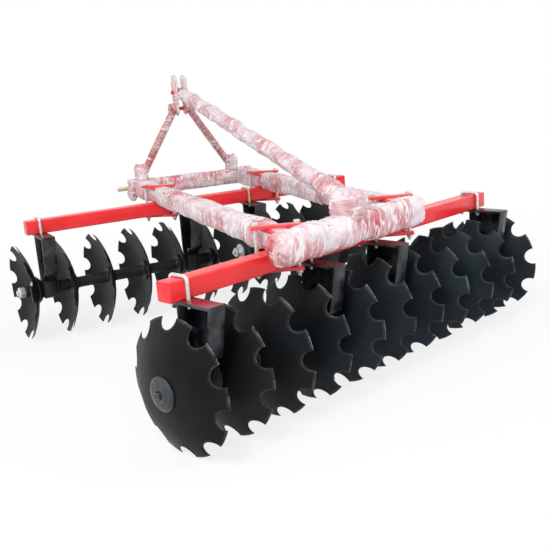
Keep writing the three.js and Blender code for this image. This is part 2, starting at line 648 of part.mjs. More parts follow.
function addHitch(model) {
  addMesh(model, 'mast_clevis', mastClevisGeometry(), beamRed);
  addMesh(model, 'mast_leg_left', mastLegGeometry(-1), beamRed);
  addMesh(model, 'mast_leg_right', mastLegGeometry(1), beamRed);
  addMesh(model, 'stay_bracket', stayBracketGeometry(), beamRed);
  addMesh(model, 'backstay', backstayGeometry(), beamRed);
  const reach = FRAME_SIZE / 2 + FIT_GAP;
  const sides = [['left', SIDE_LEFT_X - reach, Math.PI], ['right', SIDE_RIGHT_X + reach, 0]];
  for (const [side, x, turn] of sides) {
    const bracket = addMesh(model, `hitch_bracket_${side}`, hitchBracketGeometry(), beamRed);
    bracket.position.set(x, FRONT_CROSS_Y, FRAME_MIDDLE);
    bracket.rotation.z = turn;
  }
}

// ---------- whole machine ----------

const machine = new THREE.Group();
addGang(machine, REAR_GANG, 'rear');
addGang(machine, FRONT_GANG, 'front');
addFrame(machine);
addClamps(machine);
addHitch(machine);

// The origin goes to the middle of the base.
machine.updateMatrixWorld(true);
const bounds = new THREE.Box3().setFromObject(machine, true);
const middle = bounds.getCenter(new THREE.Vector3());
machine.position.set(-middle.x, -middle.y, -bounds.min.z);

const group = new THREE.Group();
group.add(machine);
export default group;
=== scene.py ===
"""Looks of a mounted disc harrow: dished black discs, red gang beams and a frame in crinkled wrapping film."""
import json
import math

import bmesh
import bpy
from mathutils import Matrix, Vector, noise


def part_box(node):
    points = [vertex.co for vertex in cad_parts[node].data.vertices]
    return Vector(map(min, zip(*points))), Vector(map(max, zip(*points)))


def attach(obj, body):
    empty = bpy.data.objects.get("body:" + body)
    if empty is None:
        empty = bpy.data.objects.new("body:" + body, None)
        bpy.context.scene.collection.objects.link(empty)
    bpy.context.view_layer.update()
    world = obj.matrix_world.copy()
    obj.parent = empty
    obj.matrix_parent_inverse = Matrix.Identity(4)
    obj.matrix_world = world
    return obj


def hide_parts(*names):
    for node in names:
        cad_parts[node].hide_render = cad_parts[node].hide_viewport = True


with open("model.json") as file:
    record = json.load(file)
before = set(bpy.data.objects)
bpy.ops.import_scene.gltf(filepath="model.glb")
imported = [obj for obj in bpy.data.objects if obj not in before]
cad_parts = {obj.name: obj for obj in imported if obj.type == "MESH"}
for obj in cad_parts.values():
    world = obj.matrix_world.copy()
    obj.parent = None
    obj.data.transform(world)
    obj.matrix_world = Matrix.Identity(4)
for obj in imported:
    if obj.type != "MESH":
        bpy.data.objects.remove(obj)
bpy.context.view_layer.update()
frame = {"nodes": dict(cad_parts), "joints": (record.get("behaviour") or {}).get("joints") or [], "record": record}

NODES = frame["nodes"]
RECORD = frame["record"]
MATERIALS = {}
UP = Vector((0, 0, 1))

# ---------- sizes, in metres ----------

DISC_SPACING = 0.230
DISC_RADIUS = 0.280
DISC_THICKNESS = 0.005
DISC_BORE = 0.0182
FLAT_RADIUS = 0.066
DISH_DEPTH = 0.078
NOTCHES = 10
NOTCH_RADIUS = 0.042
NOTCH_CENTRE = 0.275
GROUND_BEVEL = 0.0065
FIT_GAP = 0.0003
BEARING_FROM_DISC = 0.076
BEAM_SIZE = 0.080
FRAME_SIZE = 0.090
PLATE_THICKNESS = 0.012
UBOLT_RADIUS = 0.008
CLAMP_BOLT_REACH = 0.0882
CLAMP_BAR_END = 0.020
CLAMP_BAR_WIDTH = 0.040
CLAMP_BAR_THICKNESS = 0.016
CLAMP_TURN = math.radians(-42)
MAST_PLATE_GAP = 0.054
PLATE_WALL = 0.012
STAY_RADIUS = 0.026
MAST_LEG_RADIUS = 0.021
MAST_LEG_SPREAD = 0.330
END_SLEEVE = 0.042
BOLT_RADIUS = 0.017
ON_TOOTH = DISC_RADIUS - 0.0001
ON_RIM = DISC_RADIUS - 0.001
LEG_EYE_RADIUS = 0.034
STAY_PIN_ABOVE_FOOT = 0.072
STAY_PIN_BELOW_TOP = 0.102
OUTER_NUT_SECTIONS = ("front_gang_left", "rear_gang_right")


# ---------- node helpers ----------

def add_node(tree, kind, **settings):
    node = tree.nodes.new(kind)
    for name, value in settings.items():
        setattr(node, name, value)
    return node


def feed(tree, socket, value):
    """Links a socket that is given as the value, or sets a plain value."""
    if isinstance(value, bpy.types.NodeSocket):
        tree.links.new(value, socket)
    else:
        socket.default_value = value

def set_inputs(tree, node, **values):
    """Sets sockets by name; a socket as the value is linked."""
    for name, value in values.items():
        feed(tree, node.inputs[name.replace("_", " ")], value)
    return node


def maths(tree, operation, first, second=0.0):
    node = add_node(tree, "ShaderNodeMath", operation=operation)
    for socket, value in zip(node.inputs, (first, second)):
        feed(tree, socket, value)
    return node.outputs[0]


def noise_of(tree, vector, scale, detail=3.0, roughness=0.55):
    node = add_node(tree, "ShaderNodeTexNoise")
    set_inputs(tree, node, Vector=vector, Scale=scale, Detail=detail, Roughness=roughness)
    return node.outputs["Fac"]


def span(tree, value, low, high, to_low=0.0, to_high=1.0):
    """Maps value from low..high to to_low..to_high, clamped."""
    node = add_node(tree, "ShaderNodeMapRange")
    node.clamp = True
    set_inputs(tree, node, Value=value, From_Min=low, From_Max=high, To_Min=to_low, To_Max=to_high)
    return node.outputs["Result"]


def blend(tree, mask, first, second):
    """Colour that goes from first to second as mask goes from 0 to 1."""
    node = add_node(tree, "ShaderNodeMix", data_type="RGBA")
    tree.links.new(mask, node.inputs["Factor"])
    for index, value in ((6, first), (7, second)):
        feed(tree, node.inputs[index], (*value, 1.0) if isinstance(value, tuple) else value)
    return node.outputs[2]


def new_group(name, numbers, outputs):
    """An empty shader node group: a vector and some numbers in, masks or a normal out."""
    group = bpy.data.node_groups.new(name, "ShaderNodeTree")
    group.interface.new_socket(name="Vector", in_out="INPUT", socket_type="NodeSocketVector")
    for socket, value in numbers.items():
        made = group.interface.new_socket(name=socket, in_out="INPUT", socket_type="NodeSocketFloat")
        made.default_value = value
    for socket, kind in outputs.items():
        group.interface.new_socket(name=socket, in_out="OUTPUT", socket_type="NodeSocket" + kind)
    return group, add_node(group, "NodeGroupInput"), add_node(group, "NodeGroupOutput")


def use_group(tree, group, **values):
    node = add_node(tree, "ShaderNodeGroup", node_tree=group)
    return set_inputs(tree, node, **values)


# ---------- shared effects ----------

def edge_wear_group():
    """Where paint has gone from ground rims and bent edges."""
    group, inside, outside = new_group("Edge wear", {"Amount": 0.5, "Grain": 60.0}, {"Mask": "Float"})
    edge = add_node(group, "ShaderNodeAttribute", attribute_name="edge")
    patches = noise_of(group, inside.outputs["Vector"], inside.outputs["Grain"], 4.0, 0.7)
    threshold = maths(group, "SUBTRACT", 0.78, maths(group, "MULTIPLY", inside.outputs["Amount"], 0.5))
    kept = span(group, patches, threshold, maths(group, "ADD", threshold, 0.12))
    group.links.new(maths(group, "MULTIPLY", kept, edge.outputs["Fac"]), outside.inputs["Mask"])
    return group


def ripple_group():
    """The slight waviness and orange peel of sprayed paint."""
    group, inside, outside = new_group("Paint ripple", {"Scale": 40.0, "Strength": 0.1}, {"Normal": "Vector"})
    coarse = noise_of(group, inside.outputs["Vector"], inside.outputs["Scale"], 2.0)
    fine = noise_of(group, inside.outputs["Vector"], maths(group, "MULTIPLY", inside.outputs["Scale"], 9.0), 2.0)
    height = maths(group, "ADD", coarse, maths(group, "MULTIPLY", fine, 0.25))
    bump = add_node(group, "ShaderNodeBump")
    set_inputs(group, bump, Height=height, Strength=inside.outputs["Strength"], Distance=0.004)
    group.links.new(bump.outputs["Normal"], outside.inputs["Normal"])
    return group


def dust_group():
    """A thin pale dust that lies thicker on what faces up."""
    group, inside, outside = new_group("Dust", {"Scale": 9.0, "Amount": 0.3}, {"Mask": "Float"})
    facing = add_node(group, "ShaderNodeNewGeometry")
    parts = add_node(group, "ShaderNodeSeparateXYZ")
    group.links.new(facing.outputs["Normal"], parts.inputs[0])
    upward = span(group, parts.outputs["Z"], 0.2, 0.95, 0.25, 1.0)
    clouds = span(group, noise_of(group, inside.outputs["Vector"], inside.outputs["Scale"], 5.0, 0.65), 0.3, 0.75)
    mask = maths(group, "MULTIPLY", maths(group, "MULTIPLY", upward, clouds), inside.outputs["Amount"])
    group.links.new(mask, outside.inputs["Mask"])
    return group


def crease_lines(group, vector, scale, lean, width):
    """Thin lines that run mostly round the bar, leaning one way."""
    laid = add_node(group, "ShaderNodeMapping")
    laid.inputs["Rotation"].default_value = (0.0, lean * 0.6, lean)
    laid.inputs["Scale"].default_value = (1.0, 0.34, 0.34)
    group.links.new(vector, laid.inputs["Vector"])
    waves = noise_of(group, laid.outputs[0], scale, 3.0, 0.5)
    off_middle = maths(group, "ABSOLUTE", maths(group, "SUBTRACT", waves, 0.5))
    return span(group, off_middle, 0.0, width, 1.0, 0.0)


def crinkle_group():
    """Creases of thin stretched film, from the place along and around the bar it is wrapped on."""
    outputs = {"Creases": "Float", "Patches": "Float", "Normal": "Vector"}
    group, inside, outside = new_group("Film crinkle", {"Scale": 22.0, "Strength": 0.5}, outputs)
    vector, scale = inside.outputs["Vector"], inside.outputs["Scale"]
    broad = crease_lines(group, vector, scale, 0.85, 0.030)
    fine = crease_lines(group, vector, maths(group, "MULTIPLY", scale, 2.4), -0.7, 0.035)
    creases = maths(group, "MAXIMUM", broad, maths(group, "MULTIPLY", fine, 0.5))
    soft = noise_of(group, vector, scale, 4.0, 0.6)
    height = maths(group, "ADD", maths(group, "MULTIPLY", creases, 0.5), soft)
    bump = add_node(group, "ShaderNodeBump")
    set_inputs(group, bump, Height=height, Strength=inside.outputs["Strength"], Distance=0.006)
    blots = noise_of(group, vector, maths(group, "MULTIPLY", scale, 0.24), 4.0, 0.6)
    group.links.new(creases, outside.inputs["Creases"])
    group.links.new(span(group, blots, 0.44, 0.64), outside.inputs["Patches"])
    group.links.new(bump.outputs["Normal"], outside.inputs["Normal"])
    return group


EDGE_WEAR = edge_wear_group()
RIPPLE = ripple_group()
DUST = dust_group()
CRINKLE = crinkle_group()


# ---------- finishes ----------

def new_finish(name, **fixed):
    """A material with its Principled shader, whose fixed values sit on the shader's own sockets."""
    material = bpy.data.materials.new(name)
    material.use_nodes = True
    tree = material.node_tree
    tree.nodes.clear()
    shader = add_node(tree, "ShaderNodeBsdfPrincipled")
    output = add_node(tree, "ShaderNodeOutputMaterial")
    tree.links.new(shader.outputs[0], output.inputs[0])
    for socket, value in fixed.items():
        shader.inputs[socket.replace("_", " ")].default_value = value
    place = add_node(tree, "ShaderNodeTexCoord").outputs["Object"]
    MATERIALS[name] = material
    return tree, shader, place


def wear_mask(tree, place, amount, grain):
    return use_group(tree, EDGE_WEAR, Vector=place, Amount=amount, Grain=grain).outputs["Mask"]

def dust_mask(tree, place, scale, amount):
    return use_group(tree, DUST, Vector=place, Scale=scale, Amount=amount).outputs["Mask"]

def rippled(tree, shader, place, scale, strength):
    """Waviness of the sprayed coat on the shader's normal."""
    normal = use_group(tree, RIPPLE, Vector=place, Scale=scale, Strength=strength).outputs["Normal"]
    tree.links.new(normal, shader.inputs["Normal"])

def clouded(tree, shader, place, socket, scale, low, high):
    """A shader value that drifts between low and high in soft clouds."""
    tree.links.new(span(tree, noise_of(tree, place, scale), 0.3, 0.7, low, high), shader.inputs[socket])

def disc_paint():
    """Satin black on dished steel, the near discs a little browner; big soft clouds of painted sheen lighten it and
    the far discs carry a bluer painted sheen; the ground rim bare in places.
    """
    tree, shader, place = new_finish("disc_paint", Specular_IOR_Level=0.12, Metallic=0.0)
    paint_to_sheen = add_node(tree, "ShaderNodeAttribute", attribute_name="paint_to_sheen").outputs["Fac"]
    # Painted sheen: these big soft clouds lighten the black of each disc, and the bluer colours are a painted sheen
    # on the far discs.
    clouds = span(tree, noise_of(tree, place, 3.2, 3.0), 0.36, 0.68)
    brown = blend(tree, clouds, (0.0046, 0.0042, 0.0044), (0.0098, 0.0084, 0.0088))
    painted_blue_sheen = blend(tree, clouds, (0.0062, 0.0105, 0.0130), (0.0190, 0.0350, 0.0470))
    paint = blend(tree, paint_to_sheen, brown, painted_blue_sheen)
    dust = dust_mask(tree, place, 7.0, 0.05)
    dusty = blend(tree, dust, paint, (0.060, 0.056, 0.052))
    wear = wear_mask(tree, place, 0.85, 16.0)
    bare = span(tree, noise_of(tree, place, 22.0), 0.42, 0.66)
    steel = blend(tree, bare, (0.085, 0.090, 0.095), (0.42, 0.47, 0.50))
    tree.links.new(blend(tree, wear, dusty, steel), shader.inputs["Base Color"])
    smears = span(tree, noise_of(tree, place, 5.0, 4.0, 0.6), 0.3, 0.7, 0.34, 0.52)
    tree.links.new(smears, shader.inputs["Roughness"])
    rippled(tree, shader, place, 18.0, 0.10)


def cast_finish(name, dark, pale, wear_amount, rough, grain):
    """Blue-black satin paint on rough castings, lighter in clouds of painted sheen: olive on the cast parts,
    grey-blue on the dome.
    """
    tree, shader, place = new_finish(name, Specular_IOR_Level=0.3)
    # The pale colour in these clouds is a painted sheen.
    clouds = span(tree, noise_of(tree, place, 14.0, 4.0), 0.35, 0.68)
    paint = blend(tree, clouds, dark, pale)
    wear = wear_mask(tree, place, wear_amount, 50.0)
    tree.links.new(blend(tree, wear, paint, (0.13, 0.14, 0.14)), shader.inputs["Base Color"])
    clouded(tree, shader, place, "Roughness", 30.0, rough, rough + 0.2)
    rippled(tree, shader, place, grain, 0.45)


def hanger_paint():
    """Gloss navy-black on bent plate, greyed in clouds by a painted reflection and worn along its edges; overspray on
    the top plates.
    """
    tree, shader, place = new_finish("hanger_paint", Specular_IOR_Level=0.3, Coat_Weight=0.1, Coat_Roughness=0.15)
    # The grey clouds are a painted reflection on the gloss.
    clouds = span(tree, noise_of(tree, place, 7.5, 4.0, 0.6), 0.47, 0.66)
    paint = blend(tree, clouds, (0.0060, 0.0068, 0.0100), (0.060, 0.062, 0.070))
    spray = add_node(tree, "ShaderNodeAttribute", attribute_name="overspray").outputs["Fac"]
    specks = span(tree, noise_of(tree, place, 34.0, 6.0, 0.75), 0.34, 0.60, 0.15, 1.0)
    sprayed = blend(tree, maths(tree, "MULTIPLY", spray, specks), paint, (0.34, 0.030, 0.040))
    wear = wear_mask(tree, place, 0.7, 30.0)
    tree.links.new(blend(tree, wear, sprayed, (0.19, 0.18, 0.18)), shader.inputs["Base Color"])
    clouded(tree, shader, place, "Roughness", 20.0, 0.2, 0.38)
    rippled(tree, shader, place, 24.0, 0.12)


def red_finish(name, deep, bright, dust_amount, wear_amount, rough):
    """Gloss red paint; the parts differ in how clean and how scuffed they are."""
    tree, shader, place = new_finish(name, Specular_IOR_Level=0.28, Coat_Weight=0.15, Coat_Roughness=0.1)
    clouds = span(tree, noise_of(tree, place, 4.5, 3.0), 0.3, 0.72)
    paint = blend(tree, clouds, deep, bright)
    dust = dust_mask(tree, place, 14.0, dust_amount)
    dusty = blend(tree, dust, paint, (0.95, 0.60, 0.58))
    wear = wear_mask(tree, place, wear_amount, 28.0)
    tree.links.new(blend(tree, wear, dusty, (0.95, 0.22, 0.22)), shader.inputs["Base Color"])
    clouded(tree, shader, place, "Roughness", 11.0, rough, rough + 0.15)
    rippled(tree, shader, place, 12.0, 0.10)


def zinc_finish(name, pale, dark):
    """Zinc plate: cloudy, slightly frosted, a little darker in soft clouds."""
    tree, shader, place = new_finish(name, Specular_IOR_Level=0.5)
    clouds = span(tree, noise_of(tree, place, 55.0, 4.0), 0.3, 0.7)
    tree.links.new(blend(tree, clouds, dark, pale), shader.inputs["Base Color"])
    clouded(tree, shader, place, "Metallic", 35.0, 0.45, 0.7)
    clouded(tree, shader, place, "Roughness", 70.0, 0.26, 0.44)
    rippled(tree, shader, place, 120.0, 0.15)


def film_finish(name, scale, thin, rosy, redness, least):
    """Thin film over red paint: milky where it is loose, rosy where it lies tight, with pale creases whose near-white
    is a painted highlight.
    """
    tree, shader, place = new_finish(name, Specular_IOR_Level=0.4)
    lay = add_node(tree, "ShaderNodeAttribute", attribute_name="lay").outputs["Vector"]
    crinkle = use_group(tree, CRINKLE, Vector=lay, Scale=scale, Strength=0.5)
    tight = maths(tree, "MAXIMUM", maths(tree, "MULTIPLY", crinkle.outputs["Patches"], redness), least)
    drift = span(tree, noise_of(tree, place, 30.0, 4.0, 0.6), 0.3, 0.7)
    milky = blend(tree, drift, (0.76, 0.66, 0.70), (0.92, 0.87, 0.89))
    rosed = blend(tree, tight, milky, rosy)
    # The near-white along the creases is a painted highlight.
    tree.links.new(blend(tree, crinkle.outputs["Creases"], rosed, (0.97, 0.94, 0.95)), shader.inputs["Base Color"])
    clear = maths(tree, "SUBTRACT", tight, maths(tree, "MULTIPLY", crinkle.outputs["Creases"], 0.8))
    edge_on = add_node(tree, "ShaderNodeLayerWeight").outputs["Facing"]
    seen = maths(tree, "MAXIMUM", span(tree, clear, 0.0, 1.0, 1.0, thin), span(tree, edge_on, 0.45, 0.85, 0.0, 0.95))
    tree.links.new(seen, shader.inputs["Alpha"])
    clouded(tree, shader, place, "Roughness", 24.0, 0.12, 0.28)
    tree.links.new(crinkle.outputs["Normal"], shader.inputs["Normal"])


def make_finishes():
    disc_paint()
    # The second colour of cast_paint and dome_paint is a painted sheen: olive on the castings, grey-blue on the dome.
    cast_finish("cast_paint", (0.0075, 0.0100, 0.0125), (0.022, 0.026, 0.023), 0.35, 0.34, 85.0)
    cast_finish("dome_paint", (0.020, 0.025, 0.030), (0.062, 0.072, 0.080), 0.75, 0.24, 60.0)
    hanger_paint()
    red_finish("beam_red", (0.84, 0.018, 0.023), (0.92, 0.028, 0.034), 0.16, 0.35, 0.18)
    red_finish("clamp_red", (0.78, 0.044, 0.058), (0.90, 0.090, 0.110), 0.30, 0.6, 0.26)
    red_finish("frame_red", (0.62, 0.016, 0.026), (0.80, 0.034, 0.048), 0.20, 0.4, 0.28)
    zinc_finish("white_zinc", (0.88, 0.89, 0.87), (0.58, 0.60, 0.61))
    zinc_finish("yellow_zinc", (0.86, 0.78, 0.52), (0.52, 0.47, 0.30))
    film_finish("film_loose", 17.0, 0.52, (0.85, 0.24, 0.30), 0.95, 0.10)
    film_finish("film_tight", 21.0, 0.50, (0.60, 0.25, 0.24), 1.4, 0.72)
    film_finish("film_bulky", 15.0, 0.50, (0.88, 0.20, 0.26), 1.0, 0.05)


# ---------- mesh helpers ----------

def put_in_scene(name, data):
    """An object in the scene, at the origin."""
    made = bpy.data.objects.new(name, data)
    bpy.context.scene.collection.objects.link(made)
    return made


def mesh_object(name, points, faces, edge_faces=(), finish=None):
    """A mesh from plain lists; edge_faces are the faces on a worn edge, or each one's amount of wear."""
    mesh = bpy.data.meshes.new(name)
    mesh.from_pydata([tuple(p) for p in points], [], faces)
    worn = mesh.attributes.new("edge", "FLOAT", "FACE")
    marked = edge_faces if isinstance(edge_faces, dict) else dict.fromkeys(edge_faces, 1.0)
    worn.data.foreach_set("value", [marked.get(i, 0.0) for i in range(len(faces))])
    piece = put_in_scene(name, mesh)
    if finish:
        mesh.materials.append(MATERIALS[finish])
    return piece


def smooth_by_angle(piece, degrees=32):
    mesh = piece.data
    mesh.shade_smooth()
    mesh.set_sharp_from_angle(angle=math.radians(degrees))
    return piece


def joined(name, pieces):
    """One mesh of several, each with its own finish kept."""
    points, faces, marks, slots, finishes = [], [], [], [], []
    for piece in pieces:
        start = len(points)
        mesh = piece.data
        points.extend(piece.matrix_world @ v.co for v in mesh.vertices)
        worn = mesh.attributes.get("edge")
        for polygon in mesh.polygons:
            faces.append([start + i for i in polygon.vertices])
            marks.append(worn.data[polygon.index].value if worn else 0.0)
            material = mesh.materials[polygon.material_index] if mesh.materials else None
            if material not in finishes:
                finishes.append(material)
            slots.append(finishes.index(material))
        bpy.data.objects.remove(piece)
    whole = mesh_object(name, points, faces)
    for material in finishes:
        whole.data.materials.append(material)
    whole.data.polygons.foreach_set("material_index", slots)
    whole.data.attributes["edge"].data.foreach_set("value", marks)
    return whole


def turned(name, profile, sides, finish, worn_spans=()):
    """Turned piece on the X axis from (position, radius) pairs; radius 0 closes an end to a pole."""
    points, rings, faces, marks = [], [], [], []
    for x, r in profile:
        if r == 0:
            rings.append([len(points)])
            points.append(Vector((x, 0, 0)))
            continue
        rings.append(list(range(len(points), len(points) + sides)))
        for k in range(sides):
            a = 2 * math.pi * k / sides
            points.append(Vector((x, r * math.cos(a), r * math.sin(a))))
    for index, (low, high) in enumerate(zip(rings, rings[1:])):
        for k in range(sides):
            after = (k + 1) % sides
            if len(low) == 1:
                faces.append([low[0], high[k], high[after]])
            elif len(high) == 1:
                faces.append([low[k], high[0], low[after]])
            else:
                faces.append([low[k], high[k], high[after], low[after]])
            if index in worn_spans:
                marks.append(len(faces) - 1)
    return recalculated_marks(mesh_object(name, points, faces, marks, finish))


def recalculated_marks(piece):
    """Faces turned outwards; the mesh is a closed shell already."""
    solid = bmesh.new()
    solid.from_mesh(piece.data)
    bmesh.ops.recalc_face_normals(solid, faces=solid.faces)
    solid.to_mesh(piece.data)
    solid.free()
    return piece


def bevelled(piece, width, segments=2, sharper_than=35):
    """Rounds the sharp edges and marks the rounds as edge faces."""
    solid = bmesh.new()
    solid.from_mesh(piece.data)
    bmesh.ops.remove_doubles(solid, verts=solid.verts, dist=1e-5)
    bmesh.ops.dissolve_limit(solid, angle_limit=math.radians(1), verts=solid.verts, edges=solid.edges)
    limit = math.radians(sharper_than)
    sharp = [e for e in solid.edges if len(e.link_faces) == 2 and e.calc_face_angle(0) > limit]
    made = bmesh.ops.bevel(solid, geom=sharp, offset=width, segments=segments, profile=0.6, affect="EDGES",
                           clamp_overlap=True)
    rounds = set(made["faces"])
    layer = solid.faces.layers.float.get("edge") or solid.faces.layers.float.new("edge")
    for face in solid.faces:
        face[layer] = 1.0 if face in rounds else 0.0
    solid.to_mesh(piece.data)
    solid.free()
    return smooth_by_angle(piece, 50)


def block(name, low, high, finish, round_edge=0.002):
    """Box between two corners with rounded edges."""
    (x0, y0, z0), (x1, y1, z1) = low, high
    points = [(x, y, z) for x in (x0, x1) for y in (y0, y1) for z in (z0, z1)]
    faces = [[0, 1, 3, 2], [4, 6, 7, 5], [0, 4, 5, 1], [2, 3, 7, 6], [0, 2, 6, 4], [1, 5, 7, 3]]
    return bevelled(mesh_object(name, points, faces, (), finish), round_edge)


def tube(name, path, radius, sides, finish):
    """Round bar along a list of points, closed at both ends."""
    points, faces, rings = [], [], []
    side = None
    for i, point in enumerate(path):
        before, after = path[max(i - 1, 0)], path[min(i + 1, len(path) - 1)]
        along = (after - before).normalized()
        if side is None:
            side = along.orthogonal().normalized()
        side = (side - along * side.dot(along)).normalized()
        other = along.cross(side)
        rings.append(list(range(len(points), len(points) + sides)))
        for k in range(sides):
            a = 2 * math.pi * k / sides
            points.append(point + radius * (side * math.cos(a) + other * math.sin(a)))
    for low, high in zip(rings, rings[1:]):
        for k in range(sides):
            after = (k + 1) % sides
            faces.append([low[k], low[after], high[after], high[k]])
    faces.append(list(reversed(rings[0])))
    faces.append(rings[-1])
    return smooth_by_angle(recalculated_marks(mesh_object(name, points, faces, (), finish)), 40)


def stood(piece, place, along):
    """A piece made on the X axis, stood on place along a direction."""
    turn = Vector((1, 0, 0)).rotation_difference(along).to_matrix().to_4x4()
    return moved(piece, Matrix.Translation(place) @ turn)

def hexagon(name, place, along, across, height, finish):
    """Hexagon nut or bolt head standing on place along a direction, with a turned chamfer."""
    r = across / math.sqrt(3)
    levels = [(0, r * 0.9), (height * 0.12, r), (height * 0.85, r), (height, r * 0.84)]
    nut = turned(name, [(0, 0)] + levels + [(height, 0)], 6, finish, (0, 1, 3, 4))
    return smooth_by_angle(stood(nut, place, along), 20)


def threaded_end(name, place, along, radius, length, finish):
    """Bolt end with thread grooves and a chamfered tip."""
    profile = [(0, 0)]
    turns = max(3, int(length / 0.003))
    for k in range(turns):
        profile.append((length * k / turns, radius))
        profile.append((length * (k + 0.5) / turns, radius * 0.9))
    profile.append((length, radius * 0.82))
    profile.append((length, 0))
    return smooth_by_angle(stood(turned(name, profile, 16, finish), place, along), 25)


def moved(piece, matrix):
    piece.data.transform(matrix)
    return piece


def cad_copy(name, node, finish, round_edge):
    """A CAD node's own shape, merged and with its edges rounded, to stand for the node."""
    mesh = NODES[node].data.copy()
    mesh.materials.clear()
    piece = put_in_scene(name, mesh)
    mesh.materials.append(MATERIALS[finish])
    for layer in list(mesh.uv_layers):
        mesh.uv_layers.remove(layer)
    if not mesh.attributes.get("edge"):
        mesh.attributes.new("edge", "FLOAT", "FACE")
    mesh.polygons.foreach_set("material_index", [0] * len(mesh.polygons))
    return bevelled(piece, round_edge)


# ---------- repeating with Geometry Nodes ----------

def repeat_tree():
    """Sets a piece on every point, turned by the point's own angles, as one plain mesh."""
    tree = bpy.data.node_groups.new("Set on each point", "GeometryNodeTree")
    for name, kind in (("Points", "Geometry"), ("Piece", "Object"), ("Finish", "Material"), ("Size", "Float")):
        tree.interface.new_socket(name=name, in_out="INPUT", socket_type="NodeSocket" + kind)
    tree.interface.new_socket(name="Geometry", in_out="OUTPUT", socket_type="NodeSocketGeometry")
    inside = add_node(tree, "NodeGroupInput")
    outside = add_node(tree, "NodeGroupOutput")
    piece = add_node(tree, "GeometryNodeObjectInfo")
    tree.links.new(inside.outputs["Piece"], piece.inputs["Object"])
    turn = add_node(tree, "GeometryNodeInputNamedAttribute", data_type="FLOAT_VECTOR")
    turn.inputs["Name"].default_value = "turn"
    points = add_node(tree, "GeometryNodeMeshToPoints")
    tree.links.new(inside.outputs["Points"], points.inputs["Mesh"])
    instances = add_node(tree, "GeometryNodeInstanceOnPoints")
    tree.links.new(points.outputs[0], instances.inputs["Points"])
    tree.links.new(piece.outputs["Geometry"], instances.inputs["Instance"])
    tree.links.new(turn.outputs["Attribute"], instances.inputs["Rotation"])
    tree.links.new(inside.outputs["Size"], instances.inputs["Scale"])
    real = add_node(tree, "GeometryNodeRealizeInstances")
    tree.links.new(instances.outputs[0], real.inputs[0])
    coat = add_node(tree, "GeometryNodeSetMaterial")
    tree.links.new(real.outputs[0], coat.inputs["Geometry"])
    tree.links.new(inside.outputs["Finish"], coat.inputs["Material"])
    tree.links.new(coat.outputs[0], outside.inputs[0])
    return tree


def socket_id(tree, name):
    return next(s.identifier for s in tree.interface.items_tree if s.name == name and s.in_out == "INPUT")


def repeated(name, piece, spots, finish, paint_to_sheen_shares=None):
    """One mesh of a piece set at every (place, angles) spot. The pattern piece goes away after the last use."""
    mesh = bpy.data.meshes.new(name + "_points")
    mesh.from_pydata([tuple(place) for place, _ in spots], [], [])
    turns = mesh.attributes.new("turn", "FLOAT_VECTOR", "POINT")
    turns.data.foreach_set("vector", [v for _, angles in spots for v in angles])
    paint_to_sheen = mesh.attributes.new("paint_to_sheen", "FLOAT", "POINT")
    paint_to_sheen.data.foreach_set("value", paint_to_sheen_shares or [0.5] * len(spots))
    holder = put_in_scene(name + "_points", mesh)
    modifier = holder.modifiers.new("Set on each point", "NODES")
    modifier.node_group = REPEAT
    modifier[socket_id(REPEAT, "Piece")] = piece
    modifier[socket_id(REPEAT, "Finish")] = MATERIALS[finish]
    modifier[socket_id(REPEAT, "Size")] = 1.0
    ready = holder.evaluated_get(bpy.context.evaluated_depsgraph_get())
    result = put_in_scene(name, bpy.data.meshes.new_from_object(ready))
    bpy.data.objects.remove(holder)
    return result


REPEAT = repeat_tree()


# ---------- where the gangs are ----------

class Section:
    """One gang section that turns as a whole: its first disc, its direction and its bearings."""

    def __init__(self, joint):
        self.body = joint["child"]
        self.place = self.body.split("_")[0]
        axis = Vector(joint["axis"]).normalized()
        self.along = axis if self.place == "rear" else -axis
        self.origin = Vector(joint["pos_m"])
        self.angle = math.atan2(self.along.y, self.along.x)
        names = RECORD["behaviour"]["bodies"][self.body]
        discs = [n for n in names if "_disc_" in n]
        self.discs = sorted(discs, key=lambda n: (middle_of(n) - self.origin).dot(self.along))
        self.bolt = next(n for n in names if "gang_bolt" in n)
        self.matrix = Matrix.Translation(self.origin) @ Matrix.Rotation(self.angle, 4, "Z")
        self.bearing_gaps = set()
        for k in range(1, 5):
            offset = (middle_of(f"{self.place}_bearing_{k}") - self.origin).dot(self.along)
            gap = math.floor(offset / DISC_SPACING)
            if 0 <= gap < len(self.discs) - 1:
                self.bearing_gaps.add(gap)

    def spot(self, distance):
        return self.origin + self.along * distance


def middle_of(node):
    low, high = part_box(node)
    return (low + high) / 2


def gang_angle(place):
    axis = next(j["axis"] for j in frame["joints"] if j["child"].startswith(place))
    return math.atan2(axis[1], axis[0])


# ---------- discs ----------

def dish_rise(radius):
    """How far the dish stands up from its flat centre at a radius."""
    if radius <= FLAT_RADIUS:
        return 0.0
    level = (DISC_RADIUS ** 2 - FLAT_RADIUS ** 2 - DISH_DEPTH ** 2) / (2 * DISH_DEPTH)
    ball = math.hypot(DISC_RADIUS, level)
    return math.sqrt(ball ** 2 - FLAT_RADIUS ** 2) - math.sqrt(ball ** 2 - radius ** 2)


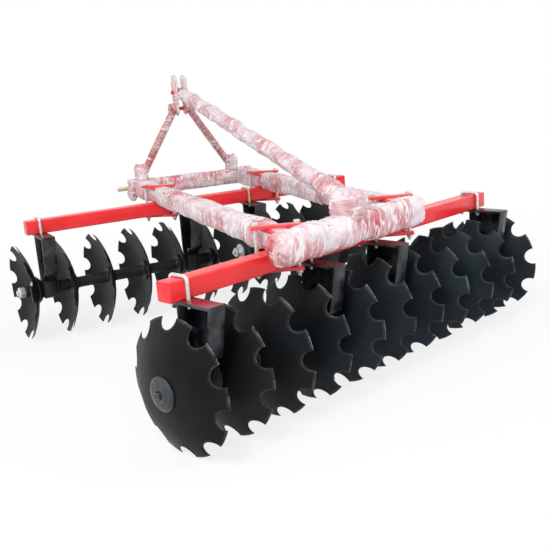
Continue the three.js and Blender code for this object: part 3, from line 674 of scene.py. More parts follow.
def rim_outline():
    """Teeth and round notches, as points (y, z) around the disc; a notch is at the top."""
    meet = (DISC_RADIUS ** 2 + NOTCH_CENTRE ** 2 - NOTCH_RADIUS ** 2) / (2 * DISC_RADIUS * NOTCH_CENTRE)
    edge = math.acos(meet)
    sweep = math.atan2(DISC_RADIUS * math.sin(edge), NOTCH_CENTRE - DISC_RADIUS * math.cos(edge))
    step = 2 * math.pi / NOTCHES
    outline = []
    for k in range(NOTCHES):
        for i in range(13):
            share = (i - 6) / 6
            y = NOTCH_RADIUS * math.sin(share * sweep)
            z = NOTCH_CENTRE - NOTCH_RADIUS * math.cos(share * sweep)
            outline.append((k * step + math.atan2(y, z), math.hypot(y, z)))
        for i in range(1, 6):
            outline.append((k * step + edge + (step - 2 * edge) * i / 6, DISC_RADIUS))
    return [Vector((r * math.sin(a), r * math.cos(a))) for a, r in outline]


def inset(outline, distance):
    """The outline moved inwards, at right angles to itself."""
    result = []
    for i, point in enumerate(outline):
        along = (outline[(i + 1) % len(outline)] - outline[i - 1]).normalized()
        inward = Vector((along.y, -along.x))
        if inward.dot(point) > 0 and point.length > ON_RIM:
            inward = -inward
        result.append(point + inward * distance)
    return result


def disc_piece():
    """Dished disc about the X axis, opening towards +X, ground to a bevel along its rim."""
    rim = rim_outline()
    count = len(rim)
    even = [math.atan2(p.x, p.y) for p in rim]
    rings = []

    def circle(radius, blend_in, offset):
        ring = []
        for k in range(count):
            a = 2 * math.pi * k / count + even[0]
            angle = a + blend_in * math.remainder(even[k] - a, 2 * math.pi)
            ring.append(Vector((dish_rise(radius) + offset, radius * math.sin(angle), radius * math.cos(angle))))
        rings.append(ring)

    def follow(points, offset):
        rings.append([Vector((dish_rise(p.length) + offset, p.x, p.y)) for p in points])

    radii = [(DISC_BORE, 0), (0.030, 0), (FLAT_RADIUS, 0), (0.100, 0.2), (0.140, 0.45), (0.180, 0.7), (0.212, 0.9)]
    for radius, share in radii:
        circle(radius, share, 0.0)
    follow(inset(rim, 0.014), 0.0)
    follow(inset(rim, GROUND_BEVEL), 0.0)
    follow(inset(rim, 0.0006), DISC_THICKNESS - 0.0014)
    follow(rim, DISC_THICKNESS - 0.0006)
    follow(inset(rim, 0.0016), DISC_THICKNESS)
    follow(inset(rim, 0.012), DISC_THICKNESS)
    for radius, share in reversed(radii):
        circle(radius, share, DISC_THICKNESS)
    points = [p for ring in rings for p in ring]
    faces = []
    worn = {}
    bands = {8: 0.10, 9: 1.0, 10: 1.0}
    for i in range(len(rings)):
        following = (i + 1) % len(rings)
        for k in range(count):
            after = (k + 1) % count
            faces.append([i * count + k, i * count + after, following * count + after, following * count + k])
            on_tooth = rim[k].length > ON_TOOTH and rim[after].length > ON_TOOTH
            if i in bands:
                worn[len(faces) - 1] = bands[i] * (1.0 if on_tooth else 0.4)
    disc = mesh_object("disc_pattern", points, faces, worn)
    return smooth_by_angle(recalculated_marks(disc), 28)


def notch_turn(node, section):
    """How far a disc's notches are turned about the gang, from the CAD node's own rim."""
    total = [0.0, 0.0]
    other = UP.cross(section.along)
    for vertex in NODES[node].data.vertices:
        arm = vertex.co - section.origin
        y, z = arm.dot(other), arm.dot(UP)
        radius = math.hypot(y, z)
        if 0.215 < radius < 0.262:
            angle = math.atan2(y, z) * NOTCHES
            total[0] += math.sin(angle)
            total[1] += math.cos(angle)
    return math.atan2(total[0], total[1]) / NOTCHES


def make_discs(sections):
    pattern = disc_piece()
    for section in sections:
        spots, paint_to_sheen_shares = [], []
        for k, node in enumerate(section.discs):
            turn = notch_turn(node, section)
            angles = (Matrix.Rotation(section.angle, 3, "Z") @ Matrix.Rotation(-turn, 3, "X")).to_euler()
            spots.append((section.spot(k * DISC_SPACING), angles))
            paint_to_sheen_shares.append(disc_paint_to_sheen(section, k))
        discs = repeated(section.body + "_discs", pattern, spots, "disc_paint", paint_to_sheen_shares)
        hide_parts(*section.discs)
        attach(discs, section.body)
    bpy.data.objects.remove(pattern)


def disc_paint_to_sheen(section, k):
    """0 is the browner paint of the near discs and 1 the bluer painted sheen of the far ones."""
    if section.place == "front":
        return 0.15 + 0.05 * (k % 3)
    start = 0.1 if section.body.endswith("left") else 0.55
    return min(1.0, start + 0.09 * k)


# ---------- spools, bells, end pieces ----------

def spool_piece():
    """Cast spool between two discs: two flanges with fillets and a slightly waisted tube."""
    start, end = DISC_THICKNESS + FIT_GAP, DISC_SPACING - FIT_GAP
    profile = [(start, BOLT_RADIUS), (start, 0.056), (start + 0.002, 0.058), (start + 0.010, 0.058)]
    profile += [(start + 0.012, 0.056), (start + 0.014, 0.042), (start + 0.019, 0.036), (start + 0.030, 0.033)]
    profile += [((start + end) / 2, 0.0322)]
    profile += [(end - 0.030, 0.033), (end - 0.019, 0.036), (end - 0.014, 0.042), (end - 0.012, 0.056)]
    profile += [(end - 0.010, 0.058), (end - 0.002, 0.058), (end, 0.056), (end, BOLT_RADIUS), (start, BOLT_RADIUS)]
    return smooth_by_angle(turned("spool_pattern", profile, 40, None, (1, 3, 13, 15)), 35)


def journal_piece():
    """Bearing's stretch of the gang: short spool, journal ring and the bell against the next disc."""
    start, end = DISC_THICKNESS + FIT_GAP, DISC_SPACING - FIT_GAP
    middle = DISC_SPACING - BEARING_FROM_DISC
    left, right = middle - 0.039, middle + 0.039
    profile = [(start, BOLT_RADIUS), (start, 0.056), (start + 0.002, 0.058), (start + 0.010, 0.058)]
    profile += [(start + 0.012, 0.056), (start + 0.015, 0.040), (start + 0.022, 0.034)]
    profile += [(left - 0.022, 0.034), (left - 0.015, 0.040), (left - 0.012, 0.056), (left - 0.010, 0.058)]
    profile += [(left - 0.002, 0.058), (left, 0.056), (left, 0.032), (right, 0.032), (right, 0.047)]
    profile += [(right + 0.003, 0.051), (end - 0.020, 0.071), (end - 0.011, 0.078), (end - 0.009, 0.080)]
    profile += [(end - 0.002, 0.080), (end, 0.078), (end, BOLT_RADIUS), (start, BOLT_RADIUS)]
    return smooth_by_angle(turned("journal_pattern", profile, 44, None, (1, 3, 9, 11, 18, 20)), 30)


def dome_piece():
    """Domed end washer on the outside of the last dish, with a shallow recess in the middle."""
    profile = [(-0.0003, BOLT_RADIUS), (-0.0003, 0.068), (-0.002, 0.070), (-0.006, 0.0695), (-0.010, 0.066)]
    profile += [(-0.016, 0.056), (-0.0205, 0.043), (-0.0230, 0.033), (-0.0236, 0.027), (-0.0222, 0.024)]
    profile += [(-0.0200, 0.022), (-0.0200, 0.0)]
    return smooth_by_angle(turned("dome", profile, 48, "dome_paint", (1, 8, 9)), 40)


def dome_bolt():
    """Square bolt head that stands in the recess of the dome."""
    return block("dome_bolt", (-0.0306, -0.0135, -0.0135), (-0.019, 0.0135, 0.0135), "dome_paint", 0.0022)


def end_washer(place):
    profile = [(0, BOLT_RADIUS), (0, 0.050), (0.002, 0.052), (0.012, 0.052), (0.014, 0.050)]
    profile += [(0.014, BOLT_RADIUS), (0, BOLT_RADIUS)]
    washer = turned("end_washer", profile, 40, "white_zinc", (1, 3))
    return moved(smooth_by_angle(washer, 35), Matrix.Translation((place, 0, 0)))


def make_end_pieces(section):
    """Dome on the convex end, and the washer, big nut and bolt tip in the last dish."""
    far = (len(section.discs) - 1) * DISC_SPACING + DISC_THICKNESS + FIT_GAP
    forward = Vector((1, 0, 0))
    parts = [dome_piece(), dome_bolt(), end_washer(far)]
    seat = far + 0.014
    if section.body in OUTER_NUT_SECTIONS:
        profile = [(seat - 0.001, 0), (seat - 0.001, 0.030), (seat + END_SLEEVE, 0.030), (seat + END_SLEEVE, 0)]
        parts.append(turned("end_sleeve", profile, 32, "cast_paint", (2,)))
        seat += END_SLEEVE
    parts.append(hexagon("end_nut", Vector((seat, 0, 0)), forward, 0.058, 0.037, "white_zinc"))
    parts.append(threaded_end("bolt_tip", Vector((seat + 0.037, 0, 0)), forward, 0.0165, 0.012, "white_zinc"))
    ends = joined(section.body + "_ends", parts)
    moved(ends, section.matrix)
    smooth_by_angle(ends, 34)
    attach(ends, section.body)
    return ends


def make_gang_lines(sections):
    spool = spool_piece()
    journal = journal_piece()
    for section in sections:
        turn = (0.0, 0.0, section.angle)
        gaps = range(len(section.discs) - 1)
        plain = [(section.spot(k * DISC_SPACING), turn) for k in gaps if k not in section.bearing_gaps]
        borne = [(section.spot(k * DISC_SPACING), turn) for k in gaps if k in section.bearing_gaps]
        spools = repeated(section.body + "_spools", spool, plain, "cast_paint")
        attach(spools, section.body)
        journals = repeated(section.body + "_journals", journal, borne, "cast_paint")
        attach(journals, section.body)
        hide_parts(section.bolt)
        make_end_pieces(section)
    bpy.data.objects.remove(spool)
    bpy.data.objects.remove(journal)


# ---------- bearings and hangers ----------

def housing_piece():
    """Cast bearing block round the journal, with cover rings, ribs and a grease nipple."""
    w, d, h, c = 0.036, 0.052, 0.055, 0.018
    outline = [(-d, h), (-d, c - h), (c - d, -h), (d - c, -h), (d, c - h), (d, h)]
    bore = 0.0335
    sides = 36
    points, faces = [], []
    for x in (-w, w):
        for k in range(sides):
            a = 2 * math.pi * k / sides
            points.append(Vector((x, bore * math.sin(a), bore * math.cos(a))))
        for k in range(sides):
            a = 2 * math.pi * k / sides
            points.append(Vector((x, *on_outline(outline, math.sin(a), math.cos(a)))))
    near, far = 0, 2 * sides
    for k in range(sides):
        after = (k + 1) % sides
        faces.append([near + k, near + after, near + sides + after, near + sides + k])
        faces.append([far + k, far + sides + k, far + sides + after, far + after])
        faces.append([near + sides + k, near + sides + after, far + sides + after, far + sides + k])
        faces.append([near + k, far + k, far + after, near + after])
    body = bevelled(recalculated_marks(mesh_object("housing", points, faces)), 0.0028, 2, 40)
    rings = []
    for side in (-1, 1):
        ring = turned("cover", [(0, 0.0335), (0, 0.050), (0.0016, 0.049), (0.0016, 0.0335), (0, 0.0335)], 36, None)
        facing = Matrix.Rotation(0 if side > 0 else math.pi, 4, "Z")
        rings.append(moved(ring, Matrix.Translation((side * w, 0, 0)) @ facing))
    nipple = tube("nipple", [Vector((0, d - 0.002, 0.02)), Vector((0, d + 0.006, 0.024))], 0.004, 10, None)
    rib = block("rib", (-0.006, d - 0.001, -0.03), (0.006, d + 0.004, 0.05), None, 0.0018)
    back = block("back_rib", (-0.006, -d - 0.004, -0.03), (0.006, -d + 0.001, 0.05), None, 0.0018)
    whole = joined("housing_pattern", [body, *rings, nipple, rib, back])
    return smooth_by_angle(whole, 36)


def on_outline(outline, dy, dz):
    """Where a ray from the middle meets a closed outline."""
    best = None
    for (y0, z0), (y1, z1) in zip(outline, outline[1:] + outline[:1]):
        ey, ez = y1 - y0, z1 - z0
        cross = dy * ez - dz * ey
        if abs(cross) < 1e-12:
            continue
        reach = (y0 * ez - z0 * ey) / cross
        share = (y0 * dz - z0 * dy) / cross
        if reach > 0 and -1e-6 <= share <= 1 + 1e-6:
            best = reach if best is None else min(best, reach)
    return dy * best, dz * best


def bearing_names():
    return [f"{place}_bearing_{k}" for place in ("rear", "front") for k in range(1, 5)]


def make_bearings():
    pattern = housing_piece()
    spots = [(middle_of(n), (0.0, 0.0, gang_angle(n.split("_")[0]))) for n in bearing_names()]
    bearings = repeated("bearing_housings", pattern, spots, "cast_paint")
    bpy.data.objects.remove(pattern)
    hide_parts(*bearing_names())
    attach(bearings, "harrow_frame")


def overspray_of(piece, amount, from_height):
    """Red that drifted onto the top plate when the beam was sprayed."""
    faces = piece.data.polygons
    values = [amount if f.normal.z > 0.6 and f.center.z > from_height else 0.0 for f in faces]
    layer = piece.data.attributes.new("overspray", "FLOAT", "FACE")
    layer.data.foreach_set("value", values)


def make_hangers():
    amounts = {"rear": (1.0, 0.12, 0.6, 0.10), "front": (0.12, 0.10, 0.10, 0.08)}
    for place, shares in amounts.items():
        for k, amount in enumerate(shares, 1):
            node = f"{place}_hanger_{k}"
            hanger = cad_copy(f"{place}_hanger_plate_{k}", node, "hanger_paint", 0.0026)
            overspray_of(hanger, amount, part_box(node)[1].z - 0.02)
            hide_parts(node)
            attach(hanger, "harrow_frame")


def hanger_matrix(place, k):
    """Frame of a hanger: X along the gang, Y forward, Z up, at the bearing's middle and floor level."""
    spot = middle_of(f"{place}_bearing_{k}")
    return Matrix.Translation((spot.x, spot.y, 0)) @ Matrix.Rotation(gang_angle(place), 4, "Z")


def beam_ahead(place):
    """How far the beam's middle lies ahead of the disc axis."""
    forward = Matrix.Rotation(gang_angle(place), 3, "Z") @ Vector((0, 1, 0))
    return (middle_of(f"{place}_gang_beam") - middle_of(f"{place}_bearing_1")).dot(forward)


def ubolt_path(ahead, low, top):
    """Legs either side of the beam and a flat bend over its top."""
    half = BEAM_SIZE / 2 + UBOLT_RADIUS + 0.001
    bend = 0.016
    path = [Vector((0, ahead - half, low)), Vector((0, ahead - half, top - bend))]
    for k in range(1, 6):
        a = math.pi / 2 * k / 6
        path.append(Vector((0, ahead - half + bend * (1 - math.cos(a)), top - bend + bend * math.sin(a))))
    path.append(Vector((0, ahead - half + bend, top)))
    path.append(Vector((0, ahead, top + 0.001)))
    path.append(Vector((0, ahead + half - bend, top)))
    for k in range(1, 6):
        a = math.pi / 2 * k / 6
        path.append(Vector((0, ahead + half - bend * (1 - math.sin(a)), top - bend + bend * math.cos(a))))
    path.append(Vector((0, ahead + half, top - bend)))
    path.append(Vector((0, ahead + half, low)))
    return path


def make_ubolts():
    """U-bolts that hold each hanger's plate up to its beam."""
    for place in ("rear", "front"):
        ahead = beam_ahead(place)
        low_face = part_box(f"{place}_gang_beam")[0].z
        top_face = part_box(f"{place}_gang_beam")[1].z
        half = BEAM_SIZE / 2 + UBOLT_RADIUS + 0.001
        under = low_face - PLATE_THICKNESS - FIT_GAP
        for k in range(1, 5):
            zinc = "yellow_zinc" if k == 3 else "white_zinc"
            parts = [tube("ubolt", ubolt_path(ahead, under - 0.022, top_face + UBOLT_RADIUS), UBOLT_RADIUS, 14, zinc)]
            down = Vector((0, 0, -1))
            for side in (-half, half):
                parts.append(hexagon("nut", Vector((0, ahead + side, under)), down, 0.024, 0.013, zinc))
            tab_low = (-0.022, ahead + BEAM_SIZE / 2 - 0.006, under)
            tab_high = (0.022, ahead + BEAM_SIZE / 2 + 0.030, under + PLATE_THICKNESS)
            parts.append(block("front_tab", tab_low, tab_high, "hanger_paint", 0.002))
            for offset in (-0.034, -0.006):
                stand = Vector((-0.004, offset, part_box(f"{place}_bearing_{k}")[1].z + 0.0093))
                parts.append(hexagon("foot_nut", stand, UP, 0.022, 0.012, "white_zinc"))
                parts.append(threaded_end("stud", stand + UP * 0.012, UP, 0.0065, 0.010, "white_zinc"))
            whole = moved(joined(f"{place}_ubolt_{k}", parts), hanger_matrix(place, k))
            smooth_by_angle(whole, 34)
            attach(whole, "harrow_frame")


def make_beams():
    for place in ("rear", "front"):
        node = f"{place}_gang_beam"
        beam = cad_copy(f"{place}_beam_tube", node, "beam_red", 0.0022)
        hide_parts(node)
        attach(beam, "harrow_frame")


# ---------- clamps ----------

def clamp_piece(levels, name):
    """Two red bars across the side member and the beam, with two long zinc bolts."""
    low_bar, high_bar = levels
    end = CLAMP_BOLT_REACH + CLAMP_BAR_END
    w, t = CLAMP_BAR_WIDTH / 2, CLAMP_BAR_THICKNESS
    parts = [
        block("upper_bar", (-end, -w, high_bar), (end, w, high_bar + t), "clamp_red", 0.003),
        block("lower_bar", (-end, -w, low_bar - t), (end, w, low_bar), "clamp_red", 0.003),
    ]
    down = Vector((0, 0, -1))
    for x in (-CLAMP_BOLT_REACH, CLAMP_BOLT_REACH):
        shank = [Vector((x, 0, low_bar - t - 0.012)), Vector((x, 0, high_bar + t + 0.002))]
        parts.append(tube("shank", shank, 0.009, 16, "white_zinc"))
        parts.append(hexagon("head", Vector((x, 0, high_bar + t)), UP, 0.027, 0.0135, "white_zinc"))
        parts.append(hexagon("nut", Vector((x, 0, low_bar - t)), down, 0.027, 0.0135, "white_zinc"))
        parts.append(threaded_end("tip", Vector((x, 0, low_bar - t - 0.0135)), down, 0.0088, 0.0115, "white_zinc"))
    return joined(name, parts)


def make_clamps():
    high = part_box("side_member_left")[1].z + FIT_GAP
    for place in ("rear", "front"):
        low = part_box(f"{place}_gang_beam")[0].z - FIT_GAP
        for side in ("left", "right"):
            node = f"{place}_clamp_{side}"
            spot = middle_of(node)
            clamp = clamp_piece((low, high), f"{place}_clamp_set_{side}")
            turn = Matrix.Rotation(gang_angle(place) + CLAMP_TURN, 4, "Z")
            moved(clamp, Matrix.Translation((spot.x, spot.y, 0)) @ turn)
            smooth_by_angle(clamp, 34)
            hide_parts(node)
            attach(clamp, "harrow_frame")


# ---------- frame, mast and hitch ----------

def make_frame_parts():
    """Frame bars, mast plates, legs, ears and stay: the CAD's shapes with rounded edges and red paint."""
    rounds = {
        "side_member_left": 0.006, "side_member_right": 0.006, "front_cross_member": 0.002,
        "rear_cross_member": 0.002, "mast_clevis": 0.002, "mast_leg_left": 0.0015, "mast_leg_right": 0.0015,
        "stay_bracket": 0.002, "backstay": 0.0015,
    }
    for node, width in rounds.items():
        part = cad_copy(node + "_painted", node, "frame_red", width)
        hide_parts(node)
        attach(part, "harrow_frame")


def make_hitch_pins():
    """Lower link brackets: red plate, collar weld and a yellow zinc pin with a linchpin hole's groove."""
    for side, way in (("left", -1), ("right", 1)):
        node = f"hitch_bracket_{side}"
        low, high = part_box(node)
        inner = high.x if way < 0 else low.x
        middle = Vector((inner, (low.y + high.y) / 2, high.z - FRAME_SIZE / 2))
        plate_low = Vector((0, -0.060, low.z - middle.z))
        plate = block("plate", plate_low, (0.016, 0.060, high.z - middle.z), "clamp_red", 0.003)
        weld = [(0.015, 0), (0.015, 0.026), (0.019, 0.0245), (0.024, 0.024), (0.026, 0.022), (0.026, 0)]
        collar = turned("collar", weld, 28, "yellow_zinc", (3,))
        profile = [(0.02, 0), (0.02, 0.014), (0.094, 0.014), (0.0945, 0.0125), (0.0975, 0.0125), (0.098, 0.014)]
        profile += [(0.107, 0.014), (0.111, 0.0105), (0.111, 0)]
        pin = turned("pin", profile, 28, "yellow_zinc", (2, 4, 6))
        whole = joined(f"lower_link_{side}", [plate, collar, pin])
        turn = Matrix.Rotation(math.pi if way < 0 else 0, 4, "Z")
        moved(whole, Matrix.Translation(middle) @ turn)
        smooth_by_angle(whole, 34)
        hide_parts(node)
        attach(whole, "harrow_frame")


# ---------- wrapping film ----------

class Skin:
    """A loose closed skin of film along a bar, bunched at its ends.

    swell is how far it stands off the bar, square how boxy it is, taper the length of a bunched end, sag how far
    it hangs below, and bulges are (share of the length, width in metres, extra stand-off).
    """

    def __init__(self, start, end, half_wide, half_high, seed, **shape):
        self.start, self.end = start, end
        self.half_wide, self.half_high = half_wide, half_high
        self.seed = seed
        self.swell = shape.get("swell", 0.006)
        self.square = shape.get("square", 5.0)
        self.taper = shape.get("taper", 0.03)
        self.sag = shape.get("sag", 0.0)
        self.bulges = shape.get("bulges", ())
        self.length = (end - start).length
        self.along = (end - start).normalized()
        self.side = self.along.cross(shape.get("upright", UP)).normalized()
        self.over = self.side.cross(self.along).normalized()

    def extra(self, distance):
        total = 0.0
        for share, width, amount in self.bulges:
            total += amount * math.exp(-((distance - share * self.length) / width) ** 2)
        return total

    def arm(self, angle, distance, shut):
        """From the bar's middle out to the film at one angle: a rounded square, creased and puckered."""
        c, s = math.cos(angle), math.sin(angle)
        rounded = (abs(c) ** self.square + abs(s) ** self.square) ** (-1 / self.square)
        wave = Vector((distance * 8, 1.5 * c + self.seed, 1.5 * s))
        folds = Vector((distance * 38 + 2.4 * math.sin(angle * 2 + self.seed), 3.0 * c, 3.0 * s + self.seed))
        pleat = 1 - min(1.0, 3.2 * abs(noise.noise(folds)))
        puff = self.swell * (0.9 + 1.0 * noise.noise(wave)) + 0.5 * self.swell * pleat + self.extra(distance)
        puff = max(0.0015, puff)
        hang = self.sag * max(0.0, -s) * (0.7 + 0.8 * noise.noise(Vector((distance * 6, self.seed, 4.0))))
        reach = 0.55 + 0.45 * shut
        across = (c * rounded * self.half_wide + c * puff) * reach
        upward = (s * rounded * self.half_high + s * puff) * reach - hang * shut
        return self.side * across + self.over * upward

    def build(self, name, finish):
        rings = max(12, int(self.length / 0.0075))
        sides = 56
        points, faces, lay = [], [], []
        for i in range(rings + 1):
            share = i / rings
            close = min(1.0, min(share, 1 - share) * self.length / self.taper)
            shut = math.sqrt(max(0.0, 1 - (1 - close) ** 2))
            inward = 1 if share < 0.5 else -1
            for k in range(sides):
                a = 2 * math.pi * k / sides
                c, s = math.cos(a), math.sin(a)
                ragged = 0.022 * noise.noise(Vector((self.seed, 2.4 * c, 2.4 * s + share * 3)))
                spot = self.start + self.along * (share * self.length + ragged * (1 - close) * inward)
                points.append(spot + self.arm(a, share * self.length, shut))
                lay.extend((share * self.length + 3 * self.seed, c * self.half_wide, s * self.half_high))
        for i in range(rings):
            for k in range(sides):
                after = (k + 1) % sides
                faces.append([i * sides + k, i * sides + after, (i + 1) * sides + after, (i + 1) * sides + k])
        faces.append(list(range(sides)))
        faces.append([rings * sides + k for k in range(sides)])
        skin = mesh_object(name, points, faces, (), finish)
        skin.data.attributes.new("lay", "FLOAT_VECTOR", "POINT").data.foreach_set("vector", lay)
        skin = recalculated_marks(skin)
        skin.data.shade_smooth()
        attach(skin, "harrow_frame")
        return skin


def make_film():
    """Film over the side members, cross members, backstay, mast and ears."""
    half = FRAME_SIZE / 2
    level = middle_of("front_cross_member").z
    for side, seed in (("left", 1.0), ("right", 2.0)):
        low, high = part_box(f"side_member_{side}")
        x = (low.x + high.x) / 2
        start, end = Vector((x, low.y - 0.02, level)), Vector((x, high.y + 0.006, level))
        bulges = [(0.12, 0.12, 0.007), (0.42, 0.10, 0.004), (0.93, 0.08, 0.008)]
        for place in ("rear", "front"):
            share = (middle_of(f"{place}_clamp_{side}").y - start.y) / (end.y - start.y)
            bulges.append((share, 0.06, -0.022))
        Skin(start, end, half, half, seed, swell=0.008, bulges=bulges).build(f"film_side_{side}", "film_loose")
    low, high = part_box("front_cross_member")
    y = (low.y + high.y) / 2
    start, end = Vector((low.x - 0.012, y, level)), Vector((high.x + 0.012, y, level))
    bulges = ((0.02, 0.06, 0.008), (0.98, 0.06, 0.008))
    Skin(start, end, half, half, 3.0, swell=0.007, bulges=bulges).build("film_front_cross", "film_loose")
    angle = gang_angle("rear")
    way = Vector((math.cos(angle), math.sin(angle), 0))
    low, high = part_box("rear_cross_member")
    reach = (high.x - low.x - FRAME_SIZE * math.sin(angle)) / math.cos(angle) / 2 + 0.022
    middle = (low + high) / 2
    bulges = ((0.20, 0.07, 0.006), (0.40, 0.07, 0.010), (0.64, 0.08, 0.010), (0.9, 0.08, 0.006))
    cross = Skin(middle - way * reach, middle + way * reach, half, half, 4.0, swell=0.010, taper=0.024, sag=0.030,
                 bulges=bulges, square=3.6)
    cross.build("film_rear_cross", "film_bulky")
    make_mast_film()
    make_hitch_film()
    make_foot_film()


def make_mast_film():
    """Film on the two mast plates, the mast legs and the knots at the legs' feet."""
    low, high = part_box("mast_clevis")
    x, y = (low.x + high.x) / 2, (low.y + high.y) / 2
    plate = MAST_PLATE_GAP / 2 + PLATE_WALL / 2
    forward = Vector((0, 1, 0))
    for side, name, seed in ((-1, "left", 5.0), (1, "right", 6.0)):
        spot = Vector((x + side * plate, y, 0))
        skin = Skin(spot + UP * (low.z - 0.004), spot + UP * (high.z + 0.004), 0.042, 0.006, seed,
                    swell=0.006, upright=Vector((1, 0, 0)), taper=0.02, square=3.0)
        skin.build(f"film_mast_plate_{name}", "film_loose")
        leg_low, leg_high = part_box(f"mast_leg_{name}")
        eye = Vector((x + side * (plate + PLATE_WALL / 2 + MAST_LEG_RADIUS), y, leg_high.z - 0.05))
        foot = Vector((x + side * MAST_LEG_SPREAD, y, leg_low.z + 0.02))
        leg = Skin(foot, eye, MAST_LEG_RADIUS, MAST_LEG_RADIUS, seed + 2, swell=0.0035, upright=forward, square=2.0)
        leg.build(f"film_mast_leg_{name}", "film_tight")
        knot = Skin(foot - UP * 0.03, foot + UP * 0.085, 0.030, 0.046, seed + 4, swell=0.010, upright=forward,
                    taper=0.03, square=2.6)
        knot.build(f"film_leg_foot_{name}", "film_loose")
        eye_middle = Vector((eye.x, y, leg_high.z - LEG_EYE_RADIUS))
        wide = Vector((MAST_LEG_RADIUS + 0.003, 0, 0))
        cap = Skin(eye_middle - wide, eye_middle + wide, LEG_EYE_RADIUS, LEG_EYE_RADIUS, seed + 6,
                   swell=0.003, taper=0.012, square=2.0)
        cap.build(f"film_leg_eye_{name}", "film_tight")


def make_hitch_film():
    """Film over the lower link plates; only the pins stand out of it."""
    for side in ("left", "right"):
        low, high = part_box(f"hitch_bracket_{side}")
        middle = (low + high) / 2
        x = high.x - 0.008 if side == "left" else low.x + 0.008
        reach = Vector((0, (high.y - low.y) / 2 + 0.004, 0))
        spot = Vector((x, middle.y, middle.z))
        tall = (high.z - low.z) / 2
        skin = Skin(spot - reach, spot + reach, 0.009, tall, 17.0, swell=0.012, square=3.2, taper=0.025)
        skin.build(f"film_hitch_{side}", "film_loose")


def make_foot_film():
    """Film on the backstay and the thick bunch round the ears that hold its foot."""
    mast_low, mast_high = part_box("mast_clevis")
    x, y = (mast_low.x + mast_high.x) / 2, (mast_low.y + mast_high.y) / 2
    low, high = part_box("stay_bracket")
    ears = (low + high) / 2
    stay_foot = Vector((x, ears.y, low.z + STAY_PIN_ABOVE_FOOT))
    stay_head = Vector((x, y, mast_high.z - STAY_PIN_BELOW_TOP))
    along = (stay_head - stay_foot).normalized()
    start, end = stay_foot + along * 0.03, stay_head - along * 0.07
    stay = Skin(start, end, STAY_RADIUS, STAY_RADIUS, 9.0, swell=0.012, square=2.0, bulges=((0.05, 0.10, 0.012),))
    stay.build("film_backstay", "film_loose")
    bunch = Skin(Vector((x, ears.y, low.z - 0.02)), Vector((x, ears.y, low.z + 0.115)), 0.050, 0.058, 10.0,
                 swell=0.022, upright=Vector((0, 1, 0)), taper=0.05, square=2.6)
    bunch.build("film_ears", "film_bulky")


# ---------- stage ----------

CAMERA_PLACE = Vector((-1.636, -3.940, 1.382))
CAMERA_YAW = math.radians(22.6)
CAMERA_PITCH = math.radians(-13.9)
CAMERA_ROLL = math.radians(-4.3)
SENSOR = 36.0
LENS = 51.5
FADE_START = 1.6
FADE_END = 4.0
NEAR_WHITE = 0.80


def make_camera():
    """Camera behind the left corner, a little above the beams, leaning slightly to one side."""
    data = bpy.data.cameras.new("camera")
    data.sensor_width = SENSOR
    data.lens = LENS
    camera = put_in_scene("camera", data)
    ahead = Vector((math.sin(CAMERA_YAW) * math.cos(CAMERA_PITCH), math.cos(CAMERA_YAW) * math.cos(CAMERA_PITCH),
                    math.sin(CAMERA_PITCH)))
    right = Vector((math.cos(CAMERA_YAW), -math.sin(CAMERA_YAW), 0))
    over = right.cross(ahead)
    c, s = math.cos(CAMERA_ROLL), math.sin(CAMERA_ROLL)
    leaned_right = right * c + over * s
    leaned_over = over * c - right * s
    turn = Matrix((leaned_right, leaned_over, -ahead)).transposed()
    camera.matrix_world = Matrix.Translation(CAMERA_PLACE) @ turn.to_4x4()
    bpy.context.scene.camera = camera


def white_rays(tree):
    """1 for the rays that show the background: to the camera, in reflections and through film."""
    path = add_node(tree, "ShaderNodeLightPath")
    seen = maths(tree, "MAXIMUM", path.outputs["Is Camera Ray"], path.outputs["Is Glossy Ray"])
    return maths(tree, "MAXIMUM", seen, path.outputs["Is Transmission Ray"])

def white_for_view(tree, shader_socket, share):
    """White to the camera, in reflections and through film, by a share; the given shader for all other light."""
    white = add_node(tree, "ShaderNodeEmission")
    white.inputs["Strength"].default_value = 1.0
    mix = add_node(tree, "ShaderNodeMixShader")
    tree.links.new(maths(tree, "MULTIPLY", white_rays(tree), share), mix.inputs[0])
    tree.links.new(shader_socket, mix.inputs[1])
    tree.links.new(white.outputs[0], mix.inputs[2])
    return mix.outputs[0]


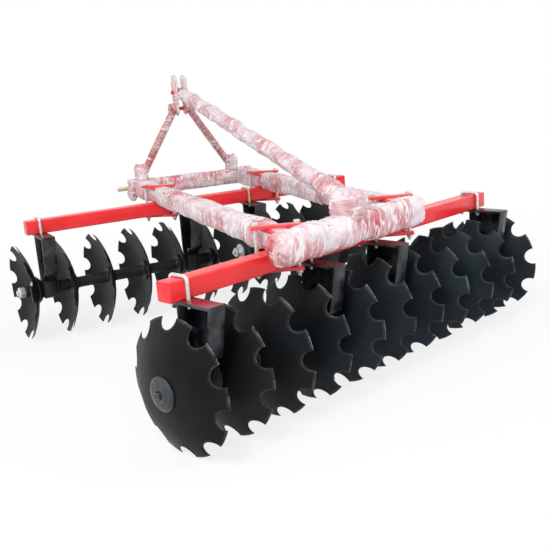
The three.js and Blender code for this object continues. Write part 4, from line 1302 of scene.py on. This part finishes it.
def make_floor():
    """Pale floor that keeps the machine's shadow near it and fades to plain white further out."""
    size = 30.0
    corners = [(-size, -size, 0), (size, -size, 0), (size, size, 0), (-size, size, 0)]
    floor = mesh_object("floor", corners, [[0, 1, 2, 3]])
    material = bpy.data.materials.new("pale_floor")
    material.use_nodes = True
    tree = material.node_tree
    tree.nodes.clear()
    place = add_node(tree, "ShaderNodeTexCoord").outputs["Object"]
    distance = add_node(tree, "ShaderNodeVectorMath", operation="LENGTH")
    tree.links.new(place, distance.inputs[0])
    share = span(tree, distance.outputs["Value"], FADE_START, FADE_END, NEAR_WHITE, 1.0)
    matte = add_node(tree, "ShaderNodeBsdfDiffuse")
    matte.inputs["Color"].default_value = (0.9, 0.9, 0.9, 1)
    output = add_node(tree, "ShaderNodeOutputMaterial")
    tree.links.new(white_for_view(tree, matte.outputs[0], share), output.inputs[0])
    floor.data.materials.append(material)


def make_world():
    world = bpy.data.worlds.new("studio")
    bpy.context.scene.world = world
    world.use_nodes = True
    tree = world.node_tree
    tree.nodes.clear()
    soft = add_node(tree, "ShaderNodeBackground")
    soft.inputs["Color"].default_value = (1, 1, 1, 1)
    soft.inputs["Strength"].default_value = 0.62
    seen = add_node(tree, "ShaderNodeBackground")
    seen.inputs["Strength"].default_value = 1.0
    seen.inputs["Color"].default_value = (1, 1, 1, 1)
    mix = add_node(tree, "ShaderNodeMixShader")
    output = add_node(tree, "ShaderNodeOutputWorld")
    tree.links.new(white_rays(tree), mix.inputs[0])
    tree.links.new(soft.outputs[0], mix.inputs[1])
    tree.links.new(seen.outputs[0], mix.inputs[2])
    tree.links.new(mix.outputs[0], output.inputs[0])


def make_lamp(name, place, aim, size, power):
    data = bpy.data.lights.new(name, "AREA")
    data.shape = "DISK"
    data.size = size
    data.energy = power
    lamp = put_in_scene(name, data)
    lamp.location = place
    lamp.rotation_mode = "QUATERNION"
    lamp.rotation_quaternion = (Vector(aim) - Vector(place)).to_track_quat("-Z", "Y")


def make_stage():
    make_camera()
    make_world()
    make_floor()
    make_lamp("key", (-3.4, -3.6, 5.2), (0, 0, 0.4), 3.0, 250)
    make_lamp("fill", (4.5, -3.0, 3.2), (0, 0, 0.4), 3.0, 70)
    bpy.context.scene.view_settings.view_transform = "Standard"


# ---------- the whole machine ----------


make_finishes()
make_stage()
SECTIONS = [Section(j) for j in frame["joints"]]
make_discs(SECTIONS)
make_gang_lines(SECTIONS)
make_bearings()
make_hangers()
make_ubolts()
make_beams()
make_clamps()
make_frame_parts()
make_hitch_pins()
make_film()
